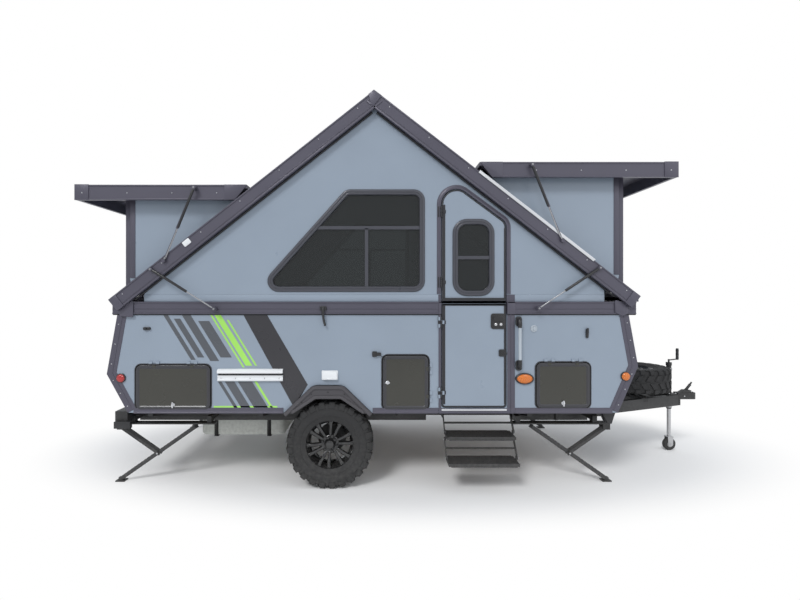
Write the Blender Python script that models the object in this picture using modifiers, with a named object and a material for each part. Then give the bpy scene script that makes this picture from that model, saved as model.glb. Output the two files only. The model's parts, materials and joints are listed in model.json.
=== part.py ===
"""Hard-sided folding camper trailer, standing open on its wheels, jack and stabilisers.

Metres, +Z up, +X towards the hitch, the door on the -Y side. Sizes along X are written from
the axle, and the root empty then centres the whole trailer over the origin on the ground.
"""
import math

import bmesh
import bpy
from mathutils import Matrix, Vector

# Clearances
SEAT = 0.0003
RUN = 0.006
EMBED = 0.004

# The root: how far the axle stands from the middle of the whole length
AXLE_X = -0.82

# Wheels
TYRE_R = 0.372
TYRE_W = 0.235
RIM_R = 0.205
ROUND = 28
WHEEL_SET = 0.1025
WHEEL_HALF = 0.098
HUB_BORE_R = 0.030
SPINDLE_R = 0.0294
TREAD_HALF, SHOULDER_HALF, CAVITY_HALF = 0.62, 0.90, 0.78
SHOULDER_DROP, SIDE_DROP, TREAD_SKIN = 0.022, 0.075, 0.03
BEAD_HALF, BEAD_IN = 0.84, 0.66
SPOKES = 6
SPOKE_WINDOW = (0.072, 0.163, 0.168)
SPOKE_ANGLES = (math.radians(8), math.radians(19))
SPOKE_FACE = (0.045, 0.072)
CAP_R, CAP_TOP = 0.052, 0.085
BOSS_R, BOSS_BACK, HUB_DEEP = 0.075, 0.035, 0.065

# The box, with its ends bent at a knee
HALF_W = 1.015
WALL_T = 0.04
WHEEL_Y = HALF_W - WHEEL_SET
SILL_Z = 0.65
FLOOR_T = 0.04
BOX_TOP = 1.49
REAR_BOTTOM_X, REAR_KNEE_X, REAR_TOP_X = -1.71, -1.89, -1.80
FRONT_BOTTOM_X, FRONT_KNEE_X, FRONT_TOP_X = 2.45, 2.62, 2.54
REAR_KNEE_Z, FRONT_KNEE_Z = 0.98, 1.045

# The belt rail on top of the box
BELT_TOP = 1.595
BELT_OUT = 0.013
BELT_W = 0.058
BELT_END_W = 0.105
BELT_REAR_X, BELT_FRONT_X = -1.84, 2.602
GABLE_RISE = 0.060

# Roof halves: the top surface runs from each lower end to the peak
PEAK = (0.382, 3.37)
REAR_EAVE = (-1.85, 1.61)
FRONT_EAVE = (2.615, 1.64)
ROOF_T = 0.045
SKIRT_T = 0.030
SKIRT_DEEP = 0.115
SKIRT_LIP = 0.004
ROOF_OUT = 0.049
ROOF_HALF_W = HALF_W + ROOF_OUT

# Gables
GABLE_T = 0.035
GABLE_SET = 0.005
GABLE_OUT = HALF_W - GABLE_SET
GABLE_CLEAR = 0.010
GABLE_REAR_X, GABLE_FRONT_X = -1.58, 2.34

# Dormers
LID_SET = 0.034
LID_HALF_W = ROOF_HALF_W - LID_SET
DORMER_SIDE_SET = 0.140
DORMER_SIDE_IN = LID_HALF_W - DORMER_SIDE_SET
DORMER_HALF_W = DORMER_SIDE_IN - 0.005
DORMER_WALL_HALF_W = DORMER_SIDE_IN - 2 * RUN
DORMER_WALL_T = 0.05
DORMER_SIDE_T = 0.035
DORMER_PIN_OUT = 0.0105
DORMER_PIN_UP = 0.0065
DORMER_SILL_SET = 0.018
DORMER_TOE = (0.016, 0.096)
SIDE_LIFT = 0.0005
LID_FLANGE_SET = 0.002
LID_POST_T = 0.02
LID_SKIN_T = 0.030
LID_FLANGE_T = 0.028
LID_FLANGE_DEEP = 0.129
DORMERS = {
    # eave, direction up the slope, lid far end, lid hinge, flange end, lid top, wall outer face
    "rear": dict(eave=REAR_EAVE, up=1, lid_far=-2.155, hinge=-0.700, flange=-0.800, top=2.587, wall=-1.800),
    "front": dict(eave=FRONT_EAVE, up=-1, lid_far=2.955, hinge=1.275, flange=1.380, top=2.780, wall=2.565),
}

# Openings in the near wall and gable: rings of (x, z) corners and the radius of each corner
DOOR_REAR_X, DOOR_FRONT_X = 0.950, 1.508
DOOR_LOW_Z = 0.690
DOOR_SPLIT_Z = 1.590
DOOR_HEAD = [2.591, (1.061, 2.591), 2.229]
DOOR_HEAD_R = [0.062, 0.09, 0.09]
DOOR_WINDOW = [(1.041, 1.646), (1.041, 2.300), (1.407, 2.190), (1.407, 1.646)]
DOOR_WINDOW_R = 0.10
GABLE_WINDOW = [(-0.513, 1.691), (0.143, 2.538), (0.799, 2.538), (0.799, 1.691)]
GABLE_WINDOW_R = 0.08
WINDOW_FRAME = 0.045
WINDOW_PROUD = 0.012
GABLE_BARS = [
    # rings of (x, z): the upright, and the level one with its end cut to the frame's slant
    [(0.300, 1.71), (0.330, 1.71), (0.330, 2.224), (0.300, 2.224)],
    [(-0.10, 2.210), (0.78, 2.210), (0.78, 2.238), (-0.085, 2.238)],
]
DOOR_BAR = (1.06, 1.39, 1.957, 1.983)
BAR_SET = 0.008
DORMER_WINDOW_HALF_W = 0.56
DORMER_WINDOW_SET = 0.22
DORMER_WINDOW_R = 0.06
LEAF_PROUD, LEAF_SET = 0.002, 0.001
LEAF_R, LEAF_SMALL_R = 0.025, 0.004
GLASS_T = 0.006
BAGGAGE = {
    # rear x, front x, low z, high z, and the edge that is hinged
    "rear": (-1.653, -1.007, 0.672, 1.061, "top"),
    "middle": (0.447, 0.847, 0.672, 1.142, "front"),
    "front": (1.753, 2.221, 0.685, 1.081, "top"),
}
BAGGAGE_R = 0.05
BAGGAGE_T = 0.030
BAGGAGE_PROUD = 0.004
DOOR_TOP_GAP = 0.011

# Hinges: three knuckles, of which the middle one moves
KNUCKLE_L = 0.030
DOOR_PIN_OUT = 0.010
DOOR_KNUCKLE_R = 0.0085
BAGGAGE_PIN_OUT = 0.0075
BAGGAGE_KNUCKLE_R = 0.0060
DORMER_KNUCKLE_R = 0.0055
HINGE_LEAF = 0.026
DORMER_STRAP = 0.035
STRAP_IN = (0.0035, 0.002)
EDGE = 0.001
BARREL_STEPS = 9
HINGE_SHARES = [0.25, 0.75]
DORMER_HINGE_Y = [-0.55, 0, 0.55]
LOWER_HINGE_Z = [0.82, 1.42]
UPPER_HINGE_Z = [1.76, 2.36]
DOOR_PIN_Y = -(HALF_W + DOOR_PIN_OUT)
BAGGAGE_PIN_Y = -(HALF_W + BAGGAGE_PIN_OUT)

# Wheel arch: base and top of the opening that the wheel stands in
ARCH_FOOT_REAR, ARCH_FOOT_FRONT = 0.0578159, 0.0358159
ARCH_CORNER_REAR, ARCH_CORNER_FRONT = 0.257, 0.274
ARCH_CLEAR = 0.031
ARCH_TOP = 2 * TYRE_R + ARCH_CLEAR
TYRE_CHORD = math.sqrt(TYRE_R ** 2 - (SILL_Z - TYRE_R) ** 2)
ARCH = [
    (-TYRE_CHORD - ARCH_FOOT_REAR, SILL_Z), (ARCH_CORNER_REAR - TYRE_R, ARCH_TOP),
    (TYRE_R - ARCH_CORNER_FRONT, ARCH_TOP), (TYRE_CHORD + ARCH_FOOT_FRONT, SILL_Z),
]
FLARE_RISE = 0.111
FLARE_MARGINS = (0.083, 0.026, 0.021, 0.080)
FLARE = [
    (ARCH[0][0] - FLARE_MARGINS[0], SILL_Z), (ARCH[1][0] - FLARE_MARGINS[1], ARCH_TOP + FLARE_RISE),
    (ARCH[2][0] + FLARE_MARGINS[2], ARCH_TOP + FLARE_RISE), (ARCH[3][0] + FLARE_MARGINS[3], SILL_Z),
]
FLARE_OUT = 0.035
LINER_T = 0.005
LINER_OUT = 0.01
WELL_DEEP = 0.31
LINER_IN = HALF_W - WELL_DEEP

# Chassis
RAIL_SET = 0.395
RAIL_Y = HALF_W - RAIL_SET
RAIL_W = 0.05
RAIL_REAR_X, RAIL_FRONT_X = -1.80, 2.36
RAIL_LOW = 0.535
RAIL_TOP = SILL_Z - SEAT
CROSS_X = [-1.60, -0.78, 0.42, 1.10, 1.70, 2.30]
CROSS_W, CROSS_SET, CROSS_DROP = 0.05, 0.012, 0.006
OUTRIGGER_X = [-1.55, -0.60, 0.60, 1.72, 2.32]
OUTRIGGER_W, OUTRIGGER_TIP, OUTRIGGER_SET = 0.04, 0.044, 0.055
TONGUE_LOW, TONGUE_TOP = 0.490, 0.598
TONGUE_APEX_X = 3.56
TONGUE_APEX_Y = 0.055
TONGUE_ROOT_X = 2.05
TONGUE_ROOT_OUT = 0.02
TONGUE_W = 0.05
NOSE_BACK, NOSE_OUT, NOSE_SIDE = 0.012, 0.030, 0.025
TIE_W = 0.05
TONGUE_TIES = [
    # x of the middle, and how far the ends reach past the middles of the tongue's bars
    (2.885, 0.013493),
    (3.225, 0.005215),
]
BUMPER = dict(x0=-1.872, x1=-1.765, z0=0.524, z1=0.640, end=0.085)

# Axle
AXLE_TUBE = (0.150, 0.497)
AXLE_TUBE_W = 0.070
ARM_SET = 0.1775
ARM_Y = WHEEL_Y - ARM_SET
ARM_T = 0.022
ARM_HALF_W, ARM_UP, ARM_R = 0.045, 0.030, 0.02
DRUM_R = 0.125
DRUM_W = 0.045

# Stabilisers: at |y|, with the brace pivot's x, and the way that the leg's top lies from it
STAB_SET = 0.185
STAB_Y = HALF_W - STAB_SET
STAB_PIVOT_Z = 0.480
STAB_LINK = 0.395
STAB_FOOT = 0.405
STAB_ENDS = {"rear": (-1.86, 1), "front": (2.43, -1)}
STAB_LEG_W = 0.040
STAB_BAR_T = 0.007
STAB_BAR_H = 0.028
STAB_PAD_T = 0.010
STAB_EAR_Y = 0.0365
STAB_EAR_T = 0.010
STAB_RAIL_UP, STAB_RAIL_T = 0.030, 0.012
STAB_RAIL_BACK, STAB_RAIL_REACH = 0.03, 0.83
STAB_HANGERS = (0.10, 0.78)
STAB_HANGER_W = 0.04

# Entry step
STEP_X0, STEP_X1 = 0.985, 1.590
STEP_SET = 0.175
STEP_PIVOT = (STEP_SET - HALF_W, 0.595)
STEP_HANGER_T = 0.008
STEP_ARM = 0.165
STEP_ANGLE = math.radians(50)
STEP_BRACKET = 0.062
EYE_PROUD = 0.001
STEP_HANGER_OUT = 0.0055
STEP_BAR_T = 0.008
STEP_BAR_H = 0.032
TREAD_DEEP = 0.200
TREAD_T = 0.022
TREAD_DROP = 0.020

# Jack, coupler and spare
JACK_X = 3.517
JACK_TUBE_LOW = 0.44
JACK_TUBE_R = 0.0245
JACK_LEG_R = 0.0195
JACK_WHEEL_R = 0.065
JACK_TOP_Z = 0.920
JACK_TRAVEL = 0.25
SPARE_GAP = 0.035
SPARE_X = JACK_X - TYRE_R - SPARE_GAP
SPARE_Z0 = 0.662
SPARE_POST_R = 0.045
SPARE_PLATE = (0.035, 0.26)
COUPLER_NOSE_X = 3.790
COUPLER_HALF_W = 0.042
COUPLER_NOSE_R = 0.036
BALL_R, BALL_BACK = 0.0255, 0.045
LEVER_BACK = 0.115

# Gas struts: a rod, a body over part of the length from the head, and a stud at each end
STRUT_ROD_R, STRUT_BODY_R, STRUT_STUD_R = 0.005, 0.0105, 0.016
STRUT_BODY_SHARE = 0.56
STRUT_OVERLAP = 0.01
STRUT_Y = ROOF_HALF_W + 0.0125
STRUT_STUD_Y = STRUT_Y + 0.012
BELT_STRUTS = [
    # foot x and z on the rail, head x and z on the roof's skirt
    (-0.962, 1.535, -1.493, 1.868),
    (1.761, 1.540, 2.273, 1.880),
]
LID_STRUT_HEAD, LID_STRUT_FOOT = 0.43, 0.685
LID_STRUT_DROP, LID_STRUT_FOOT_DROP = 0.035, 0.030

# Water tank, under the floor
TANK = dict(x0=-1.18, x1=-0.86, half_y=0.50, z0=0.520, z1=0.612)
TANK_R = 0.05
TANK_STRAP = (-1.02, 0.02, 0.10)

# Furniture
BED_TOP_Z = 1.02
PLY_T = 0.018
CUSHION_T = 0.10
GALLEY = dict(x0=0.46, x1=1.50, y0=0.48, z1=1.36)
LOCKER = dict(x0=0.42, x1=0.88, y1=-0.46, z1=1.26)
BED_FRONT_X = -0.78
DINETTE_REAR_X = 1.64

collection = None
root = None
MATERIALS = {}


def start():
    """Clear the scene and make the collection and the root empty."""
    global collection, root
    for item in list(bpy.data.objects):
        bpy.data.objects.remove(item, do_unlink=True)
    collection = bpy.data.collections.new("folding_camper")
    bpy.context.scene.collection.children.link(collection)
    root = bpy.data.objects.new("root", None)
    root.location = (AXLE_X, 0, 0)
    collection.objects.link(root)
    palette = [
        # name, colour, roughness, metallic
        ("panel", (0.30, 0.35, 0.42), 0.35, 0.0),
        ("trim", (0.09, 0.09, 0.12), 0.45, 0.2),
        ("chassis", (0.02, 0.02, 0.02), 0.5, 0.3),
        ("baggage", (0.03, 0.03, 0.025), 0.35, 0.2),
        ("rubber", (0.02, 0.02, 0.02), 0.8, 0.0),
        ("wheel", (0.015, 0.015, 0.015), 0.25, 0.6),
        ("glass", (0.05, 0.06, 0.06), 0.08, 0.0),
        ("zinc", (0.55, 0.55, 0.55), 0.35, 0.9),
        ("tank", (0.85, 0.85, 0.85), 0.5, 0.0),
        ("wood", (0.36, 0.27, 0.19), 0.5, 0.0),
        ("cushion", (0.25, 0.26, 0.27), 0.9, 0.0),
    ]
    for name, rgb, roughness, metallic in palette:
        item = bpy.data.materials.new(name)
        item.use_nodes = True
        shader = item.node_tree.nodes["Principled BSDF"]
        shader.inputs["Base Color"].default_value = (*rgb, 1)
        shader.inputs["Roughness"].default_value = roughness
        shader.inputs["Metallic"].default_value = metallic
        MATERIALS[name] = item


def scratch(mesh, name="shape"):
    """Wrap a mesh in an object that a later step joins, cuts or finishes."""
    item = bpy.data.objects.new(name, mesh)
    collection.objects.link(item)
    return item


def tidy_mesh(item):
    """Merge what touches and point every face outwards."""
    work = bmesh.new()
    work.from_mesh(item.data)
    bmesh.ops.remove_doubles(work, verts=work.verts, dist=1e-5)
    bmesh.ops.recalc_face_normals(work, faces=work.faces)
    work.to_mesh(item.data)
    work.free()
    return item


def applied(item):
    """Replace an object's mesh by what its modifiers make of it."""
    graph = bpy.context.evaluated_depsgraph_get()
    mesh = bpy.data.meshes.new_from_object(item.evaluated_get(graph))
    item.modifiers.clear()
    item.data = mesh
    return item


def box(x0, x1, y0, y1, z0, z1):
    """A cube stretched between two corners."""
    work = bmesh.new()
    bmesh.ops.create_cube(work, size=1)
    size = Matrix.Diagonal((x1 - x0, y1 - y0, z1 - z0, 1))
    middle = Matrix.Translation(((x0 + x1) / 2, (y0 + y1) / 2, (z0 + z1) / 2))
    bmesh.ops.transform(work, matrix=middle @ size, verts=work.verts)
    mesh = bpy.data.meshes.new("box")
    work.to_mesh(mesh)
    work.free()
    return scratch(mesh)


def bar(start_point, end_point, wide, high, up=(0, 0, 1)):
    """A rectangular bar between two points, wide across and high along the up hint."""
    a, b = Vector(start_point), Vector(end_point)
    along = (b - a).normalized()
    side = along.cross(Vector(up)).normalized()
    top = side.cross(along).normalized()
    item = box(0, (b - a).length, -wide / 2, wide / 2, -high / 2, high / 2)
    turn = Matrix((along, -side, top)).transposed().to_4x4()
    item.data.transform(Matrix.Translation(a) @ turn)
    return tidy_mesh(item)


def rod(start_point, end_point, radius, sides=16, end_radius=None):
    """A round bar or a cone between two points."""
    a, b = Vector(start_point), Vector(end_point)
    work = bmesh.new()
    bmesh.ops.create_cone(
        work, cap_ends=True, segments=sides, radius1=radius,
        radius2=radius if end_radius is None else end_radius, depth=(b - a).length,
    )
    turn = (b - a).to_track_quat("Z", "Y").to_matrix().to_4x4()
    bmesh.ops.transform(work, matrix=Matrix.Translation((a + b) / 2) @ turn, verts=work.verts)
    mesh = bpy.data.meshes.new("rod")
    work.to_mesh(mesh)
    work.free()
    return scratch(mesh)


def turned(profile, steps):
    """A closed (radius, height) profile turned round Z."""
    work = bmesh.new()
    points = [work.verts.new((r, 0, z)) for r, z in profile]
    for index, point in enumerate(points):
        work.edges.new((point, points[(index + 1) % len(points)]))
    mesh = bpy.data.meshes.new("turned")
    work.to_mesh(mesh)
    work.free()
    item = scratch(mesh)
    screw = item.modifiers.new("turn", "SCREW")
    screw.steps = steps
    screw.render_steps = steps
    screw.use_merge_vertices = True
    screw.merge_threshold = 1e-5
    return tidy_mesh(applied(item))


def rounded(corners, radii, pieces=4):
    """A ring of corners with each corner turned into an arc of its radius."""
    if not isinstance(radii, (list, tuple)):
        radii = [radii] * len(corners)
    ring = []
    count = len(corners)
    for index, corner in enumerate(corners):
        radius = radii[index]
        here = Vector(corner)
        before = (Vector(corners[index - 1]) - here).normalized()
        after = (Vector(corners[(index + 1) % count]) - here).normalized()
        half = before.angle(after) / 2
        if radius <= 0 or half > math.radians(89):
            ring.append(tuple(here))
            continue
        centre = here + (before + after).normalized() * (radius / math.sin(half))
        first = here + before * (radius / math.tan(half)) - centre
        last = here + after * (radius / math.tan(half)) - centre
        sweep = first.angle_signed(last)
        for piece in range(pieces + 1):
            turn = Matrix.Rotation(-sweep * piece / pieces, 2)
            ring.append(tuple(centre + turn @ first))
    return ring


def circle(u, v, radius, sides):
    """A round ring."""
    turns = (2 * math.pi * index / sides for index in range(sides))
    return [(u + radius * math.cos(turn), v + radius * math.sin(turn)) for turn in turns]


def inset(corners, distance):
    """A ring moved inwards by a distance (outwards when it is negative)."""
    count = len(corners)
    area = sum(
        corners[i][0] * corners[(i + 1) % count][1] - corners[(i + 1) % count][0] * corners[i][1]
        for i in range(count)
    )
    turn = 1 if area > 0 else -1
    moved = []
    for index in range(count):
        a, b, c = (Vector(corners[(index + k) % count]) for k in (-1, 0, 1))
        one = (b - a).normalized()
        two = (c - b).normalized()
        first = Vector((-one.y, one.x)) * turn
        second = Vector((-two.y, two.x)) * turn
        scale = distance / (1 + first.dot(second))
        moved.append(tuple(b + (first + second) * scale))
    return moved


ACROSS = {
    "X": Matrix(((0, 0, 1, 0), (1, 0, 0, 0), (0, 1, 0, 0), (0, 0, 0, 1))),
    "Y": Matrix(((1, 0, 0, 0), (0, 0, -1, 0), (0, 1, 0, 0), (0, 0, 0, 1))),
    "Z": Matrix.Identity(4),
}


def plate(rings, low, high, across="Y"):
    """A flat plate with the first ring as its edge and the others as holes."""
    curve = bpy.data.curves.new("outline", "CURVE")
    curve.dimensions = "2D"
    curve.fill_mode = "BOTH"
    curve.extrude = (high - low) / 2
    for ring in rings:
        spline = curve.splines.new("POLY")
        spline.points.add(len(ring) - 1)
        for point, (u, v) in zip(spline.points, ring):
            point.co = (u, v, 0, 1)
        spline.use_cyclic_u = True
    source = scratch(curve)
    graph = bpy.context.evaluated_depsgraph_get()
    mesh = bpy.data.meshes.new_from_object(source.evaluated_get(graph))
    bpy.data.objects.remove(source)
    middle = (low + high) / 2
    axis = {"X": (middle, 0, 0), "Y": (0, middle, 0), "Z": (0, 0, middle)}[across]
    mesh.transform(Matrix.Translation(axis) @ ACROSS[across])
    return tidy_mesh(scratch(mesh))


def combine(base, others, operation):
    """Join the others to the base, or cut them from it."""
    for other in others:
        change = base.modifiers.new("change", "BOOLEAN")
        change.operation = operation
        change.solver = "EXACT"
        change.object = other
        applied(base)
        bpy.data.objects.remove(other)
    return tidy_mesh(base)


def join(base, *others):
    return combine(base, others, "UNION")


def cut(base, *others):
    return combine(base, others, "DIFFERENCE")


def finish(item, name, material, pivot=(0, 0, 0)):
    """Name a finished sub-part and put its origin on its pivot."""
    item.name = name
    item.data.name = name
    item.data.materials.clear()
    item.data.materials.append(MATERIALS[material])
    item.data.transform(Matrix.Translation(-Vector(pivot)))
    item.location = pivot
    item.parent = root
    item.data.shade_smooth()
    item.data.set_sharp_from_angle(angle=math.radians(35))
    return item


def barrel_ring(pin, ahead, outward, radius, inside, outside):
    """A hinge barrel with its strap, as a ring.

    The strap is a box from a corner in the barrel to one outside it, both written as the way
    ahead from the pin and the way outward from it. The outside corner lies inward.
    """
    (near, proud), (far, deep) = inside, outside
    first = math.asin(proud / radius)
    last = 2 * math.pi - math.acos(near / radius)
    ring = [(near, deep), (far, deep), (far, proud)]
    for step in range(BARREL_STEPS + 1):
        turn = first + (last - first) * step / BARREL_STEPS
        ring.append((radius * math.cos(turn), radius * math.sin(turn)))
    return [tuple(pin[k] + u * ahead[k] + v * outward[k] for k in (0, 1)) for u, v in ring]


def knuckles(ring, across, middles, moving):
    """One leaf's knuckles of several hinges: the moving leaf has the middle one of three."""
    step = KNUCKLE_L + SEAT
    return [
        plate([ring], middle + shift - KNUCKLE_L / 2, middle + shift + KNUCKLE_L / 2, across)
        for middle in middles for shift in ([0] if moving else [-step, step])
    ]


def door_knuckles(heights, face_y, moving):
    """The near side's door hinges, on a face at face_y."""
    ahead = (1 if moving else -1, 0)
    outside = (HINGE_LEAF, DOOR_PIN_Y - face_y - EMBED)
    ring = barrel_ring((DOOR_REAR_X, DOOR_PIN_Y), ahead, (0, -1), DOOR_KNUCKLE_R, STRAP_IN, outside)
    return knuckles(ring, "Z", heights, moving)


def baggage_knuckles(name, moving):
    """The hinges of one baggage door, along its top or its front edge."""
    x0, x1, z0, z1, edge = BAGGAGE[name]
    outside = (HINGE_LEAF, -BAGGAGE_PIN_OUT - EMBED)
    low, high = (x0, x1) if edge == "top" else (z0, z1)
    middles = [low + (high - low) * share for share in HINGE_SHARES]
    ahead = -1 if moving else 1
    if edge == "top":
        ring = barrel_ring((BAGGAGE_PIN_Y, z1), (0, ahead), (-1, 0), BAGGAGE_KNUCKLE_R, STRAP_IN, outside)
        return knuckles(ring, "X", middles, moving)
    ring = barrel_ring((x1, BAGGAGE_PIN_Y), (ahead, 0), (0, -1), BAGGAGE_KNUCKLE_R, STRAP_IN, outside)
    return knuckles(ring, "Z", middles, moving)


def dormer_pin(side):
    """The point under a dormer's end wall that it folds about, as (x, z)."""
    x = side["wall"] - side["up"] * DORMER_PIN_OUT
    return x, on_roof(side["eave"], x)[1] + DORMER_PIN_UP


def dormer_knuckles(side, moving):
    """The hinges at the foot of a dormer's end wall."""
    up = side["up"]
    run, rise = slope(side["eave"])
    if moving:
        ahead, outward = (up, 0), (0, -1)
        inside, outside = (EDGE, -EDGE), (DORMER_PIN_OUT + EMBED, -0.013)
    else:
        ahead, outward = (-run, -rise), (-rise * up, abs(run))
        inside, outside = STRAP_IN, (DORMER_STRAP, -DORMER_PIN_UP - 2 * EMBED)
    ring = barrel_ring(dormer_pin(side), ahead, outward, DORMER_KNUCKLE_R, inside, outside)
    return knuckles(ring, "Y", DORMER_HINGE_Y, moving)


# Roof geometry

def slope(eave):
    """The direction up a roof half, as x and z."""
    run, rise = PEAK[0] - eave[0], PEAK[1] - eave[1]
    length = math.hypot(run, rise)
    return run / length, rise / length


def on_roof(eave, x, height=0.0):
    """The point above x that stands a height, square to the slope, over the roof's top."""
    run, rise = slope(eave)
    return x, eave[1] + (x - eave[0]) * rise / run + height / abs(run)


def roof_offset(eave, height):
    """The roof's lower corner moved square to the slope by a height."""
    run, rise = slope(eave)
    sign = 1 if run > 0 else -1
    return eave[0] - sign * rise * height, eave[1] + abs(run) * height


# Body

def side_outline():
    return [
        (REAR_BOTTOM_X, SILL_Z), *arch_ring(LINER_T + SEAT), (FRONT_BOTTOM_X, SILL_Z),
        (FRONT_KNEE_X, FRONT_KNEE_Z), (FRONT_TOP_X, BOX_TOP), (REAR_TOP_X, BOX_TOP),
        (REAR_KNEE_X, REAR_KNEE_Z),
    ]


def arch_ring(outward):
    """The arch's four corners moved outwards, its feet kept at the sill."""
    (x0, z0), (x1, z1), (x2, z2), (x3, z3) = ARCH
    legs = [(2 * x0 - x1, 2 * z0 - z1), (x1, z1), (x2, z2), (2 * x3 - x2, 2 * z3 - z2)]
    ring = inset(legs, -outward)

    def at_sill(low, high):
        share = (SILL_Z - low[1]) / (high[1] - low[1])
        return low[0] + share * (high[0] - low[0]), SILL_Z
    return [at_sill(ring[0], ring[1]), ring[1], ring[2], at_sill(ring[3], ring[2])]


def baggage_ring(name, clearance=0.0):
    x0, x1, z0, z1, _ = BAGGAGE[name]
    corners = [(x0, z0), (x1, z0), (x1, z1), (x0, z1)]
    return rounded(inset(corners, clearance), BAGGAGE_R - clearance)


def build_box():
    """Side walls and bent end walls."""
    inner = HALF_W - WALL_T
    for name, sign in (("near", -1), ("far", 1)):
        holes = [baggage_ring(bay) for bay in BAGGAGE] if sign < 0 else []
        low, high = sorted((sign * inner, sign * HALF_W))
        wall = plate([side_outline(), *holes], low, high)
        if sign < 0:
            ring = [
                (DOOR_REAR_X, DOOR_LOW_Z), (DOOR_FRONT_X, DOOR_LOW_Z),
                (DOOR_FRONT_X, BOX_TOP + 0.1), (DOOR_REAR_X, BOX_TOP + 0.1),
            ]
            wall = cut(wall, plate([rounded(ring, [0.03, 0.03, 0, 0])], low - 0.01, high + 0.01))
            fixed = door_knuckles(LOWER_HINGE_Z, -HALF_W, False)
            for bay in BAGGAGE:
                fixed += baggage_knuckles(bay, False)
            wall = join(wall, *fixed)
        finish(wall, f"side_wall_{name}", "panel")

    for name, sign, bottom, knee, top, knee_z in (
        ("rear", 1, REAR_BOTTOM_X, REAR_KNEE_X, REAR_TOP_X, REAR_KNEE_Z),
        ("front", -1, FRONT_BOTTOM_X, FRONT_KNEE_X, FRONT_TOP_X, FRONT_KNEE_Z),
    ):
        outer = [(bottom, SILL_Z), (knee, knee_z), (top, BOX_TOP)]
        band = outer + [(x + sign * WALL_T, z) for x, z in reversed(outer)]
        band[-1] = (bottom + sign * WALL_T, SILL_Z)
        finish(plate([band], -inner + SEAT, inner - SEAT), f"end_wall_{name}", "panel")


def build_floor():
    """The floor, cut round the wheel wells, with the locker that is built on to it."""
    edge = HALF_W - WALL_T - SEAT
    back = REAR_BOTTOM_X + WALL_T + SEAT
    front = FRONT_BOTTOM_X - WALL_T - SEAT
    arch = arch_ring(LINER_T + SEAT)
    arch_back, arch_front = arch[0][0], arch[3][0]
    well = LINER_IN - LINER_T - SEAT
    ring = [(back, -edge)]
    for sign in (-1, 1):
        steps = [(arch_back, sign * edge), (arch_back, sign * well),
                 (arch_front, sign * well), (arch_front, sign * edge)]
        ring += steps if sign < 0 else [(front, -edge), (front, edge), *reversed(steps)]
    ring.append((back, edge))
    floor_z = SILL_Z + FLOOR_T
    floor = plate([ring], SILL_Z, floor_z, "Z")
    k = LOCKER
    top = box(k["x0"], k["x1"], -edge, k["y1"], k["z1"] - PLY_T, k["z1"])
    face = box(k["x0"], k["x1"], k["y1"] - PLY_T, k["y1"], floor_z - EMBED, k["z1"] - EMBED)
    finish(join(floor, face, top), "floor", "wood")


def gas_strut(foot, head, sign):
    """A gas strut between two studs, each given by its x, its z and the |y| that it reaches in to."""
    low, high = (Vector((x, sign * STRUT_Y, z)) for x, z, _ in (foot, head))
    split = high.lerp(low, STRUT_BODY_SHARE)
    inside = split + (high - low).normalized() * STRUT_OVERLAP
    studs = [
        rod((x, sign * depth, z), (x, sign * STRUT_STUD_Y, z), STRUT_STUD_R)
        for x, z, depth in (foot, head)
    ]
    return join(studs[0], rod(low, inside, STRUT_ROD_R, 10), rod(split, high, STRUT_BODY_R, 14), studs[1])


def build_belt():
    """The dark rail round the top of the box, the near gable's riser and the roof struts."""
    out_y = HALF_W + BELT_OUT
    low, high = BOX_TOP + SEAT, BELT_TOP
    outer = [(BELT_REAR_X, -out_y), (BELT_FRONT_X, -out_y), (BELT_FRONT_X, out_y), (BELT_REAR_X, out_y)]
    in_y = out_y - BELT_W
    back, front = BELT_REAR_X + BELT_END_W, BELT_FRONT_X - BELT_END_W
    belt = plate([outer, [(back, -in_y), (front, -in_y), (front, in_y), (back, in_y)]], low, high, "Z")
    gable_in = GABLE_OUT - GABLE_T
    riser = box(GABLE_REAR_X, GABLE_FRONT_X, -GABLE_OUT, -gable_in, high - EMBED, high + GABLE_RISE)
    belt = join(belt, riser)
    belt = cut(belt, box(DOOR_REAR_X, DOOR_FRONT_X, -out_y - 0.1, -gable_in + 0.1, low - 0.1, high + 0.2))
    for sign in (-1, 1):
        for foot_x, foot_z, head_x, head_z in BELT_STRUTS:
            foot, head = (foot_x, foot_z, out_y - EMBED), (head_x, head_z, ROOF_HALF_W + SEAT)
            belt = join(belt, gas_strut(foot, head, sign))
    finish(belt, "belt_rail", "trim")


def build_fenders():
    """Flares outside the wall, with the wheel wells behind them."""
    for name, sign in (("near", -1), ("far", 1)):
        def span(a, b):
            return sorted((sign * a, sign * b))
        face = plate([FLARE + ARCH[::-1]], *span(HALF_W + SEAT, HALF_W + FLARE_OUT))
        band = arch_ring(LINER_T)
        liner = plate([band + ARCH[::-1]], *span(LINER_IN, HALF_W + LINER_OUT))
        back = plate([band], *span(LINER_IN - LINER_T, LINER_IN + EMBED))
        finish(join(face, liner, back), f"fender_{name}", "trim")


# Roof

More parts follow.
